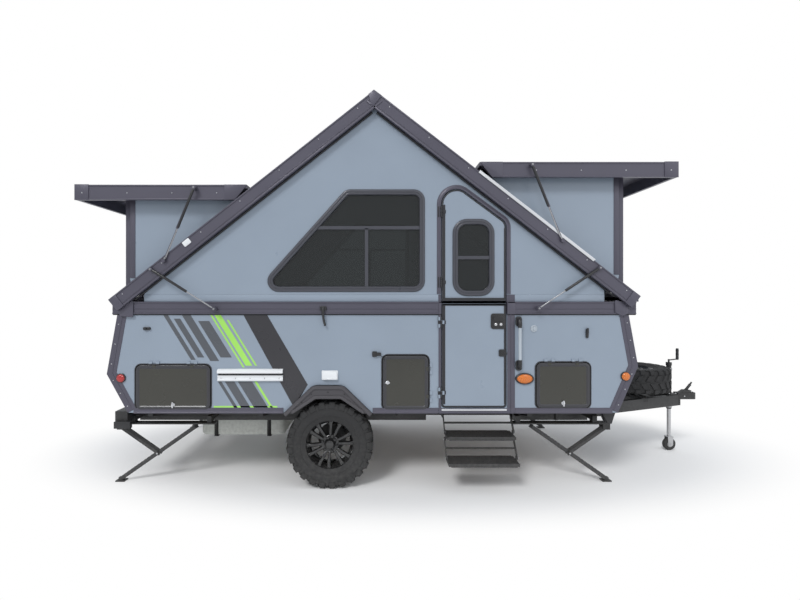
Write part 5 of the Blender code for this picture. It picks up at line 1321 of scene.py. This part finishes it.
class CamperFenders(Piece):
    """Moulded flares with rolled lips, and the wheel wells behind them."""
    bl_idname = "camper.fenders"
    bl_label = "Fenders"

    def build(self):
        for label, sign in SIDES:
            form = Form()
            outer = rounded(FLARE, [0, 0.09, 0.09, 0], 8)
            inner = rounded(ARCH, [0, 0.035, 0.035, 0], 6)
            prism(form, outer + inner[::-1], sign * (WALL_Y + 0.0003), sign * (WALL_Y + 0.03))
            face = sign * (WALL_Y + 0.001)
            sweep(form, outer, [(0.0, 0.0), (0.0, 0.026), (-0.01, 0.037), (-0.026, 0.04),
                                (-0.033, 0.036), (-0.033, 0.029), (-0.012, 0.0)], face, sign, "Y", False)
            sweep(form, inner, [(0.0, 0.028), (0.0, 0.041), (0.006, 0.045), (0.018, 0.043),
                                (0.026, 0.036), (0.026, 0.028)], face, sign, "Y", False)
            sweep(form, ARCH, rect(0.0, 0.005, 0.01, -0.315), sign * WALL_Y, sign, "Y", False)
            prism(form, ARCH, sign * 0.7, sign * 0.708)
            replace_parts(make(form, f"fender_shell_{label}", "fender", smooth=30), f"fender_{label}")
            places = ((-0.318, 0.672), (-0.232, 0.745), (-0.15, 0.812), (-0.011, 0.83), (0.128, 0.812),
                      (0.212, 0.745), (0.3, 0.672))
            spots = [((x, sign * (WALL_Y + 0.03), z), (0, sign, 0)) for x, z in places]
            heads(f"fender_screws_{label}", spots, 0.006, 0.004, "black", "trailer", 10)


class CamperStruts(Piece):
    """Gas struts: dark bodies over bright rods, with their ball ends and plates."""
    bl_idname = "camper.struts"
    bl_label = "Gas struts"

    def build(self):
        for name in UP:
            up = UP[name]
            _, hinge, top = LID[name]
            head_x, foot_x = hinge - up * 0.43, hinge - up * 0.685
            foot = up_roof(name, foot_x)
            lid_strut = ((head_x, top - 0.035), along_roof(name, foot, -0.0236))
            belt_strut = {"rear": ((-1.493, 1.868), (-0.962, 1.535)),
                          "front": ((2.273, 1.88), (1.761, 1.54))}[name]
            for label, (start, end) in (("lid", lid_strut), ("belt", belt_strut)):
                body, bright, ends = Form(), Form(), []
                for sign in (-1, 1):
                    y = sign * (SKIRT_Y + 0.0125)
                    a, b = Vector((start[0], y, start[1])), Vector((end[0], y, end[1]))
                    reach = (b - a).normalized()
                    gap = (b - a).length
                    split = gap * 0.56
                    tube(body, [a + reach * s for s in (0.012, 0.02, split, split + 0.006)],
                         [0.009, 0.0115, 0.0115, 0.008], 14)
                    tube(bright, [a + reach * split, b - reach * 0.01], 0.0056, 12)
                    for spot in (a, b):
                        ends.append(((spot.x, sign * (SKIRT_Y + 0.0235), spot.z), (0, sign, 0)))
                make(body, f"{label}_strut_bodies_{name}", "black")
                make(bright, f"{label}_strut_rods_{name}", "machined")
                heads(f"{label}_strut_balls_{name}", ends, 0.01, 0.006, "machined", "trailer", 14,
                      0.7)


class CamperLamps(Piece):
    """Marker lamps at the corners and the porch lamp beside the door."""
    bl_idname = "camper.lamps"
    bl_label = "Lamps"

    def build(self):
        for name, finish, x, z in (("rear", "red", -1.772, 0.945), ("front", "amber", 2.516, 0.96)):
            for label, sign in SIDES:
                base, dome = Form(), Form()
                at = (x, sign * (WALL_Y - 0.001), z)
                lathe(base, [(0.0, 0.0), (0.0405, 0.0), (0.0405, 0.009), (0.036, 0.012), (0.033, 0.012),
                             (0.0, 0.01)], at, (0, sign, 0), 32)
                make(base, f"marker_base_{name}_{label}", "black")
                lathe(dome, [(0.0, 0.009), (0.034, 0.009), (0.0335, 0.018), (0.028, 0.024), (0.016, 0.0275),
                             (0.0, 0.0285)], at, (0, sign, 0), 32)
                make(dome, f"marker_lens_{name}_{label}", finish)
        lamp_x, lamp_z = PORCH_LAMP
        oval = [(lamp_x + 0.076 * math.cos(t), lamp_z + 0.046 * math.sin(t))
                for t in (math.tau * k / 40 for k in range(40))]
        form = Form()
        sweep(form, oval, [(-0.003, 0.0), (-0.002, 0.014), (0.003, 0.018), (0.009, 0.018), (0.012, 0.01),
                           (0.012, 0.0)], -WALL_Y, -1)
        make(form, "porch_lamp_bezel", "black", smooth=30)
        glow = Form()
        rows = []
        for scale, out in ((0.9, 0.004), (0.88, 0.016), (0.74, 0.024), (0.45, 0.029), (0.15, 0.031)):
            rows.append([(lamp_x + (x - lamp_x) * scale, -WALL_Y - out, lamp_z + (z - lamp_z) * scale)
                         for x, z in oval])
        grid_of(glow, rows)
        make(glow, "porch_lamp_lens", "amber", smooth=50)


class CamperFittings(Piece):
    """Grab handle, outlet cover, table bracket, catches, filler cap and small plates."""
    bl_idname = "camper.fittings"
    bl_label = "Fittings"

    def build(self):
        self.grab_handle()
        self.white_pieces()
        self.catches()

    def grab_handle(self):
        form = Form()
        x = 1.607
        for z0, z1, way in ((1.385, 1.47, -1), (1.01, 1.095, 1)):
            prism(form, rounded(rect(x - 0.026, x + 0.026, z0, z1), 0.02), -WALL_Y - 0.018, -WALL_Y)
            middle = (z0 + z1) / 2
            tube(form, [(x, -WALL_Y - 0.01, middle - way * 0.012),
                        (x, -WALL_Y - 0.036, middle - way * 0.004),
                        (x, -WALL_Y - 0.047, middle + way * 0.02),
                        (x, -WALL_Y - 0.047, middle + way * 0.052)], [0.019, 0.019, 0.0175, 0.016], 16)
        make(form, "grab_handle_ends", "black", bevel=0.001)
        bar = Form()
        tube(bar, [(x, -WALL_Y - 0.047, 1.1), (x, -WALL_Y - 0.047, 1.24), (x, -WALL_Y - 0.047, 1.385)],
             0.0135, 20)
        make(bar, "grab_handle_bar", "grip")

    def white_pieces(self):
        form = Form()
        prism(form, rounded(rect(-0.066, 0.072, 0.93, 1.01), 0.008), -WALL_Y - 0.01, -WALL_Y)
        prism(form, rounded(rect(-0.06, 0.066, 0.935, 0.998), 0.008), -WALL_Y - 0.028, -WALL_Y - 0.009)
        tube(form, [(-0.045, -WALL_Y - 0.018, 1.001), (0.051, -WALL_Y - 0.018, 1.001)], 0.006, 10)
        block(form, -0.02, 0.026, -WALL_Y - 0.031, -WALL_Y - 0.027, 0.938, 0.948)
        make(form, "outlet_cover", "white", bevel=0.002)
        rail = Form()
        x0, x1 = -0.948, -0.395
        sweep(rail, [(x0, 0.988), (x1, 0.988)], [(0.0, 0.0), (0.0, 0.03), (0.004, 0.034), (0.02, 0.034),
                                                 (0.03, 0.024), (0.036, 0.01), (0.036, 0.0)], -WALL_Y, -1,
              "Y", False)
        sweep(rail, [(x0, 0.922), (x1, 0.922)], [(0.0, 0.0), (0.0, 0.02), (0.006, 0.026), (0.012, 0.026),
                                                 (0.014, 0.018), (0.038, 0.018), (0.04, 0.024),
                                                 (0.046, 0.024), (0.048, 0.0)], -WALL_Y, -1, "Y", False)
        make(rail, "table_bracket", "white", smooth=25)
        # A black block in the slot between the two rails, under the upper rail: painted shadow of the upper
        # rail.
        slot_shadow = Form()
        block(slot_shadow, x0 + 0.004, x1 - 0.004, -WALL_Y - 0.012, -WALL_Y, 0.969, 0.989)
        make(slot_shadow, "table_bracket_slot", "black")
        spots = [((x0 + 0.03 + k * 0.1232, -WALL_Y - 0.0185, 0.946), (0, -1, 0)) for k in range(5)]
        heads("table_bracket_screws", spots, 0.0055, 0.003, "zinc", "trailer")
        bracket = Form()
        ring = [along_roof("rear", up_roof("rear", -1.211) + s, h)
                for s, h in ((-0.034, -0.05), (0.034, -0.05), (0.034, -0.004), (-0.034, -0.004))]
        prism(bracket, rounded(ring, 0.006, 2), -SKIRT_Y - 0.009, -SKIRT_Y)
        make(bracket, "rear_beam_bracket", "white", bevel=0.0015)

    def catches(self):
        """Black clips on the wall, the hook on the belt, the door holder and the filler cap."""
        form = Form()
        block(form, -0.08, -0.024, -BELT_Y - 0.016, -BELT_Y, 1.52, 1.556)
        tube(form, [(-0.052, -BELT_Y - 0.012, 1.548), (-0.052, -BELT_Y - 0.02, 1.5),
                    (-0.048, -BELT_Y - 0.018, 1.45), (-0.04, -BELT_Y - 0.01, 1.412),
                    (-0.034, -BELT_Y - 0.02, 1.392)], [0.012, 0.011, 0.01, 0.01, 0.009], 10)
        for x, z, wide, tall in ((-1.551, 1.366, 0.062, 0.026), (2.189, 1.325, 0.022, 0.078)):
            prism(form, rounded(rect(x - wide / 2, x + wide / 2, z - tall / 2, z + tall / 2), 0.01),
                  -WALL_Y - 0.014, -WALL_Y)
        block(form, -1.575, -1.552, -WALL_Y - 0.024, -WALL_Y - 0.012, 1.358, 1.374)
        block(form, 2.182, 2.196, -WALL_Y - 0.028, -WALL_Y - 0.012, 1.33, 1.372)
        prism(form, rounded(rect(0.363, 0.404, 1.126, 1.172), 0.008), -WALL_Y - 0.016, -WALL_Y)
        prism(form, rounded(rect(0.4, 0.438, 1.136, 1.164), 0.006), -WALL_Y - 0.024, -WALL_Y - 0.006)
        make(form, "wall_catches", "black", bevel=0.002)
        line = Form()
        tube(line, [(0.434, -WALL_Y - 0.018, 1.14), (0.448, -WALL_Y - 0.022, 1.128),
                    (0.46, -WALL_Y - 0.016, 1.112), (0.468, -WALL_Y - 0.012, 1.098)], 0.0025, 8)
        make(line, "door_keeper", "black")
        cap = Form()
        lathe(cap, [(0.0, 0.0), (0.028, 0.0), (0.029, 0.005), (0.025, 0.008), (0.022, 0.008), (0.021, 0.005),
                    (0.009, 0.005), (0.008, 0.01), (0.0, 0.011)], (1.738, -WALL_Y, 1.366), (0, -1, 0), 32)
        block(cap, 1.732, 1.744, -WALL_Y - 0.012, -WALL_Y - 0.004, 1.349, 1.383)
        make(cap, "filler_cap", "grip")


class CamperGraphics(Piece):
    """The dark diagonal stripe and a plain pattern of slanted bars with lime lines."""
    bl_idname = "camper.graphics"
    bl_label = "Wall graphics"

    def build(self):
        top, low = BELT_LOW - 0.001, SILL_Z + 0.044
        stripe = Form()
        prism(stripe, [(-0.737, top), (-0.535, top), (-0.185, 0.888), (-0.21, 0.85), (-0.316, low),
                       (-0.303, low)], -WALL_Y - 0.0012, -WALL_Y + 0.0004)
        make(stripe, "wall_stripe", "stripe")
        grey, lime = Form(), Form()
        lean = 0.62
        bars = [(-1.42, 0.04, 1.1, top), (-1.35, 0.055, 1.12, 1.45), (-1.262, 0.075, 1.09, top),
                (-1.155, 0.095, 1.12, 1.43)]
        for x, wide, z0, z1 in bars:
            slide = lean * (top - z1)
            prism(grey, [(x + slide, z1), (x + wide + slide, z1), (x + wide + lean * (top - z0), z0),
                         (x + lean * (top - z0), z0)], *VINYL)
        for x, wide, z0, z1 in ((-1.02, 0.016, low, top), (-0.985, 0.055, 1.05, top),
                                (-0.905, 0.016, 1.05, 1.44)):
            z0 = max(z0, 1.035)
            prism(lime, [(x + lean * (top - z1), z1), (x + wide + lean * (top - z1), z1),
                         (x + wide + lean * (top - z0), z0), (x + lean * (top - z0), z0)],
                  *VINYL)
        for x, wide, z0, z1 in ((-0.95, 0.03, low, 0.915), (-0.89, 0.08, low, 0.915),
                                (-0.78, 0.12, low, 0.915)):
            prism(grey, [(x, z1), (x + wide, z1), (x + wide + lean * (z1 - z0), z0),
                         (x + lean * (z1 - z0), z0)], *VINYL)
        prism(lime, [(-0.64, 0.915), (-0.618, 0.915), (-0.618 + lean * (0.915 - low), low),
                     (-0.64 + lean * (0.915 - low), low)], *VINYL)
        prism(lime, [(-0.985, low), (-0.44, low), (-0.448, low + 0.013), (-0.985, low + 0.013)], *VINYL)
        make(grey, "slanted_bars", "grey_vinyl")
        make(lime, "lime_lines", "lime")


class CamperStabilisers(Piece):
    """Holes along the stabiliser legs, bolt heads at their pivots and screws on the rails."""
    bl_idname = "camper.stabilisers"
    bl_label = "Stabilisers"

    def build(self):
        for joint in frame["joints"]:
            if not joint["name"].startswith("stabiliser_leg"):
                continue
            body = joint["child"]
            low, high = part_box(body)
            middle = Vector(joint["pos_m"])
            rear = "rear" in body
            foot = Vector((low.x + 0.04 if rear else high.x - 0.04, middle.y, 0.022))
            along = (foot - middle).normalized()
            normal = along.cross(Vector((0, 1, 0))).normalized()
            normal = normal if normal.z > 0 else -normal
            spots = []
            pitch = sizes().hole_pitch
            for k in range(-9, 10):
                if k == 0:
                    continue
                for way in (-1, 1):
                    point = middle + along * (k * pitch) + Vector((0, way * 0.0172, 0))
                    spots.append(((point.x - AXLE_X, point.y, point.z), (0, way, 0)))
                point = middle + along * (k * pitch) + normal * 0.0172
                spots.append(((point.x - AXLE_X, point.y, point.z), tuple(normal)))
            heads(f"leg_holes_{body}", spots, 0.0085, 0.0012, "bezel", body, 12, 0.95)
            bolt = [((middle.x - AXLE_X, middle.y + way * 0.0385, middle.z), (0, way, 0)) for way in (-1, 1)]
            bolts(f"pivot_bolts_{body}", bolt, 0.009, 0.006, joint["parent"])


class CamperStep(Piece):
    """Grip dimples, folded edges and pivot bolts of the entry step."""
    bl_idname = "camper.step"
    bl_label = "Entry step"

    def build(self):
        for name in ("upper", "lower"):
            node_name = f"step_tread_{name}"
            low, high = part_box(node_name)
            ear = 0.016
            top = high.z - 0.034
            x0, x1 = low.x + ear - AXLE_X, high.x - ear - AXLE_X
            y0, y1 = low.y, high.y
            spots = []
            for i in range(15):
                for j in range(5):
                    x = x0 + (x1 - x0) * (i + 0.5 + 0.25 * (j % 2)) / 15.3
                    y = y0 + (y1 - y0) * (j + 0.5) / 5
                    spots.append(((x, y, top + 0.001), (0, 0, 1)))
            heads(f"grip_dimples_{name}", spots, 0.008, 0.0026, "chassis", node_name, 10, 0.55)
            lip = Form()
            for y in (y0 - 0.001, y1 - 0.003):
                block(lip, x0 + 0.004, x1 - 0.004, y, y + 0.004, top - 0.028, top + 0.004)
            make(lip, f"tread_lips_{name}", "chassis", node_name, 0.001)
        for joint in frame["joints"]:
            if joint["name"] not in ("step_swing", "step_tread_upper_level", "step_arms_lower_swing",
                                     "step_tread_lower_level"):
                continue
            place = Vector(joint["pos_m"])
            owner = joint["child"] if "arms" in joint["child"] else joint["parent"]
            low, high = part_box(owner)
            spots = []
            for x, way in ((low.x, -1), (high.x, 1)):
                spots.append(((x - AXLE_X + way * 0.002, place.y, place.z), (way, 0, 0)))
            bolts(f"pins_{joint['name']}", spots, 0.009, 0.005, owner)


class CamperTongue(Piece):
    """Coupler, jack collars, grip, the spare's hold-down, the caster, the tank and the frame's fittings."""
    bl_idname = "camper.tongue"
    bl_label = "Tongue"

    def build(self):
        form = Form()
        x = JACK_X
        for z, wide, tall in ((0.845, 0.031, 0.026), (0.452, 0.029, 0.02)):
            lathe(form, [(0.0252, 0.0), (wide, 0.002), (wide, tall), (0.0252, tall + 0.004)], (x, 0, z),
                  (0, 0, 1), 28)
        make(form, "jack_collars", "machined", smooth=40)
        grip = Form()
        lathe(grip, [(0.0, 0.0), (0.0135, 0.0), (0.015, 0.008), (0.014, 0.03), (0.015, 0.052),
                     (0.014, 0.078), (0.015, 0.1), (0.012, 0.116), (0.0, 0.119)], (x + 0.09, 0, 0.962),
              (0, 0, 1), 20)
        make(grip, "crank_grip", "black")
        spots = []
        for dx in (-0.034, 0.034):
            for dy in (-0.058, 0.058):
                spots.append(((x + dx, dy, 0.61), (0, 0, 1)))
        bolts("jack_bolts", spots, 0.009, 0.007, "trailer")
        coupler = Form()
        prism(coupler, rounded([(3.6, 0.553), (3.78, 0.553), (3.78, 0.6), (3.735, 0.64),
                                (3.668, 0.64), (3.63, 0.616), (3.6, 0.614)],
                               [0.004, 0.018, 0.02, 0.018, 0.015, 0.01, 0.002], 4), -0.03, 0.03)
        tube(coupler, [(3.68, 0, 0.632), (3.712, 0, 0.662), (3.752, 0, 0.708), (3.76, 0, 0.722)],
             [0.008, 0.0085, 0.0085, 0.0075], 10)
        make(coupler, "coupler_hood", "chassis", bevel=0.003)
        pins = [((3.735, sign * 0.0305, 0.628), (0, sign, 0)) for sign in (-1, 1)]
        pins += [((3.655, sign * 0.0425, 0.58), (0, sign, 0)) for sign in (-1, 1)]
        bolts("coupler_bolts", pins, 0.008, 0.006, "trailer")
        self.spare_hold()
        self.caster()
        self.frame_bolts()
        self.tank()
        self.flanges()

    def spare_hold(self):
        form = Form()
        low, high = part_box("spare_tyre")
        x, z = (low.x + high.x) / 2 - AXLE_X, high.z
        tube(form, [(x, 0, z - 0.1), (x, 0, z + 0.01)], 0.008, 12)
        make(form, "spare_stud", "zinc")
        plate = Form()
        prism(plate, rounded(rect(x - 0.06, x + 0.06, -0.06, 0.06), 0.02), z - 0.02, z - 0.014, "Z")
        make(plate, "spare_plate", "chassis", bevel=0.001)
        bolts("spare_nut", [((x, 0, z - 0.006), (0, 0, 1))], 0.013, 0.012, "trailer")

    def caster(self):
        form = Form()
        joint = next(j for j in frame["joints"] if j["name"] == "jack_wheel_spin")
        at = Vector(joint["pos_m"])
        x = at.x - AXLE_X
        lathe(form, [(0.01, -0.0245), (0.03, -0.0245), (0.034, -0.0215), (0.034, 0.0215), (0.03, 0.0245),
                     (0.01, 0.0245)], (x, 0, at.z), (0, 1, 0), 24)
        make(form, "caster_hub", "machined", "jack_wheel")
        spots = [((x, sign * 0.036, at.z), (0, sign, 0)) for sign in (-1, 1)]
        bolts("caster_axle_nuts", spots, 0.01, 0.006, "jack_leg")

    def frame_bolts(self):
        spots = []
        for sign in (-1, 1):
            for x in (-1.6, -0.78, 0.42, 1.1, 1.7, 2.3):
                spots.append(((x, sign * 0.6465, 0.592), (0, sign, 0)))
        bolts("frame_bolts", spots, 0.01, 0.006, "trailer")

    def tank(self):
        """The water tank's moulded body."""
        tank = Form()
        ring = rounded(rect(-1.27, -0.47, -0.55, 0.55), 0.06, 4)
        rows = []
        for z, gap in ((0.316, 0.035), (0.322, 0.014), (0.335, 0.004), (0.35, 0.0), (0.505, 0.0),
                       (0.522, 0.01), (0.53, 0.035)):
            rows.append([(x, y, z) for x, y in shrunk(ring, gap)])
        grid_of(tank, rows)
        make(tank, "tank_body", "tank")

    def flanges(self):
        """The tank's straps, the flanges of the frame's rails and the bumper's ends."""
        form = Form()
        for x in (-1.12, -0.62):
            block(form, x - 0.018, x + 0.018, -0.554, 0.554, 0.311, 0.3165)
            for sign in (-1, 1):
                block(form, x - 0.018, x + 0.018, sign * 0.549, sign * 0.554, 0.311, 0.56)
                block(form, x - 0.018, x + 0.018, sign * 0.549, sign * 0.6, 0.548, 0.56)
        for x0, x1, sign in ((-1.8, 2.36, 1), (-1.8, STEP_BAY[0], -1), (STEP_BAY[1], 2.36, -1)):
            block(form, x0, x1, sign * 0.596, sign * 0.644, 0.488, 0.536)
        make(form, "frame_flanges", "chassis", bevel=0.002)
        form = Form()
        for sign in (-1, 1):
            block(form, -1.862, -1.72, sign * 0.934, sign * 0.974, 0.5, 0.56)
        make(form, "bumper_ends", "black", bevel=0.004)


class CamperInterior(Piece):
    """Cushions, cabinet fronts and worktop, seen through the windows."""
    bl_idname = "camper.interior"
    bl_label = "Interior"

    def build(self):
        for name, splits in (("bed_base_cushion", 2), ("dinette_cushion", 2)):
            low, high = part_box(name)
            span = (high.y - low.y) / splits
            for index in range(splits):
                a = Vector((low.x, low.y + index * span, low.z))
                b = Vector((high.x, low.y + (index + 1) * span, high.z))
                item = cushion(f"{name}_{index + 1}", a, b)
                if index == 0:
                    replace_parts(item, name)
        form = Form()
        low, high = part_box("galley")
        x0, x1, y = low.x - AXLE_X, high.x - AXLE_X, low.y
        block(form, x0 - 0.006, x1 + 0.006, y - 0.008, high.y, high.z - 0.026, high.z + 0.004)
        make(form, "galley_worktop", "worktop", bevel=0.003)
        doors = Form()
        for k in range(3):
            a = x0 + 0.03 + k * (x1 - x0 - 0.06) / 3
            b = a + (x1 - x0 - 0.06) / 3 - 0.012
            block(doors, a, b, y + 0.002, y + 0.024, low.z + 0.06, high.z - 0.2)
            block(doors, a, b, y + 0.002, y + 0.024, high.z - 0.185, high.z - 0.05)
        make(doors, "galley_doors", "wood", bevel=0.002)


def cushion(name, low, high):
    """A stuffed pad, swollen by a cloth simulation."""
    work = bmesh.new()
    bmesh.ops.create_cube(work, size=1)
    gap = Vector((0.02, 0.012, 0.012))
    size = (high - low) - gap * 2
    centre = (high + low) / 2
    bmesh.ops.transform(work, matrix=Matrix.Translation(centre) @ Matrix.Diagonal((*size, 1)),
                        verts=work.verts)
    bmesh.ops.bevel(work, geom=list(work.edges), offset=0.02, segments=3, affect="EDGES", profile=0.5)
    mesh = bpy.data.meshes.new(name)
    work.to_mesh(mesh)
    work.free()
    item = linked(name, mesh)
    shrink = item.modifiers.new("Even Mesh", "REMESH")
    shrink.mode = "VOXEL"
    shrink.voxel_size = 0.018
    graph = bpy.context.evaluated_depsgraph_get()
    item.data = bpy.data.meshes.new_from_object(item.evaluated_get(graph))
    item.modifiers.clear()
    rest = [v.co.copy() for v in item.data.vertices]
    puff = item.modifiers.new("Puff", "CLOTH")
    puff.settings.use_pressure = True
    puff.settings.uniform_pressure_force = 4
    puff.settings.effector_weights.gravity = 0
    puff.settings.quality = 4
    for step in range(1, 13):
        bpy.context.scene.frame_set(step)
    graph = bpy.context.evaluated_depsgraph_get()
    item.data = bpy.data.meshes.new_from_object(item.evaluated_get(graph))
    item.modifiers.clear()
    for vertex, start in zip(item.data.vertices, rest):
        move = vertex.co - start
        if move.length > SWELL:
            move = move.normalized() * SWELL
        vertex.co = start + move
        vertex.co.z = min(max(vertex.co.z, low.z + 0.001), high.z + 0.008)
        vertex.co.y = min(max(vertex.co.y, low.y + 0.001), high.y - 0.001)
        vertex.co.x = min(max(vertex.co.x, low.x + 0.001), high.x - 0.001)
    bpy.context.scene.frame_set(1)
    item.data.name = name
    item.data.materials.clear()
    item.data.materials.append(finish_of("cloth"))
    item.data.shade_smooth()
    settle(item, "trailer")
    return item


class CamperStage(Piece):
    """Floor, soft lights and the camera of the photograph."""
    bl_idname = "camper.stage"
    bl_label = "Stage"

    def build(self):
        scene = bpy.context.scene
        scene.view_settings.view_transform = "Standard"
        form = Form()
        prism(form, rect(-14, 14, -9, 16), -0.02, -0.0005, "Z")
        mesh = bpy.data.meshes.new("studio_floor")
        mesh.from_pydata(form.points, [], form.faces)
        floor = linked("studio_floor", mesh)
        mesh.materials.append(self.floor_finish())
        self.world()
        for name, turn, energy, spread in (
            ("key", (math.radians(48), 0, math.radians(-28)), 1.35, 16),
            ("fill", (math.radians(62), 0, math.radians(48)), 0.55, 70),
        ):
            lamp = bpy.data.lights.new(name, "SUN")
            lamp.energy = energy
            lamp.angle = math.radians(spread)
            linked(name, lamp).rotation_euler = turn
        view = bpy.data.cameras.new("photo_view")
        view.lens, view.sensor_width = 21.15, 36
        view.shift_x, view.shift_y = 0.02875, -0.0075
        camera = linked("photo_view", view)
        camera.location = (CAMERA[0] + AXLE_X, -(WALL_Y + CAMERA[1]), CAMERA[2])
        camera.rotation_euler = (math.radians(90), 0, 0)
        scene.camera = camera

    def floor_finish(self):
        """Pale ground that keeps the shadow near the trailer and fades to white away from it."""
        item, tree, shader, where = blank("pale_ground")
        shader.inputs["Base Color"].default_value = (*colours().floor, 1)
        shader.inputs["Roughness"].default_value = 0.9
        shader.inputs["Specular IOR Level"].default_value = 0.0
        centred = node(tree, "ShaderNodeVectorMath", {0: where, 1: (0.0, 0.2, 0.0)}, operation="SUBTRACT")
        flat = node(tree, "ShaderNodeVectorMath", {0: centred, 1: (0.3, 0.62, 0.0)}, operation="MULTIPLY")
        reach = node(tree, "ShaderNodeVectorMath", {0: flat}, operation="LENGTH")
        fade = node(tree, "ShaderNodeMapRange", {"Value": reach.outputs["Value"], "From Min": 0.85,
                                                 "From Max": 1.25}, interpolation_type="SMOOTHSTEP")
        path = node(tree, "ShaderNodeLightPath")
        seen = node(tree, "ShaderNodeMath", {0: path.outputs["Is Camera Ray"], 1: fade},
                    operation="MULTIPLY")
        white = node(tree, "ShaderNodeEmission", {"Color": (1, 1, 1, 1), "Strength": 1.0})
        mixed = node(tree, "ShaderNodeMixShader", {0: seen, 1: shader, 2: white})
        tree.links.new(mixed.outputs[0], tree.nodes["Material Output"].inputs["Surface"])
        return item

    def world(self):
        world = bpy.data.worlds.new("studio")
        bpy.context.scene.world = world
        world.use_nodes = True
        tree = world.node_tree
        light = tree.nodes["Background"]
        light.inputs["Color"].default_value = (0.93, 0.96, 1.0, 1)
        light.inputs["Strength"].default_value = 0.62
        white = node(tree, "ShaderNodeBackground", {"Color": (1, 1, 1, 1), "Strength": 1.0})
        path = node(tree, "ShaderNodeLightPath")
        mixed = node(tree, "ShaderNodeMixShader", {0: path.outputs["Is Camera Ray"], 1: light, 2: white})
        tree.links.new(mixed.outputs[0], tree.nodes["World Output"].inputs["Surface"])


PIECES = [CamperStage, CamperSurfaces, CamperTyres, CamperWheels, CamperWindows, CamperTrims, CamperRivets,
          CamperDoors, CamperBaggage, CamperFenders, CamperStruts, CamperLamps, CamperFittings,
          CamperGraphics, CamperStabilisers, CamperStep, CamperTongue, CamperInterior]


class CAMPER_PT_pieces(bpy.types.Panel):
    """Lists the settings and the operators."""
    bl_idname = "CAMPER_PT_pieces"
    bl_label = "Folding Camper"
    bl_space_type = "VIEW_3D"
    bl_region_type = "UI"
    bl_category = "Camper"

    def draw(self, context):
        layout = self.layout
        for group in (context.scene.camper_colours, context.scene.camper_sizes):
            box = layout.box()
            for key in group.bl_rna.properties.keys():
                if key not in ("rna_type", "name"):
                    box.prop(group, key)
        for item in PIECES:
            layout.operator(item.bl_idname)


CLASSES = [CamperColours, CamperSizes, *PIECES, CAMPER_PT_pieces]


def register():
    for item in CLASSES:
        bpy.utils.register_class(item)
    bpy.types.Scene.camper_colours = bpy.props.PointerProperty(type=CamperColours)
    bpy.types.Scene.camper_sizes = bpy.props.PointerProperty(type=CamperSizes)


def unregister():
    del bpy.types.Scene.camper_colours
    del bpy.types.Scene.camper_sizes
    for item in reversed(CLASSES):
        bpy.utils.unregister_class(item)


def main():
    register()
    for item in PIECES:
        family, name = item.bl_idname.split(".")
        getattr(getattr(bpy.ops, family), name)()


if __name__ == "__main__":
    main()
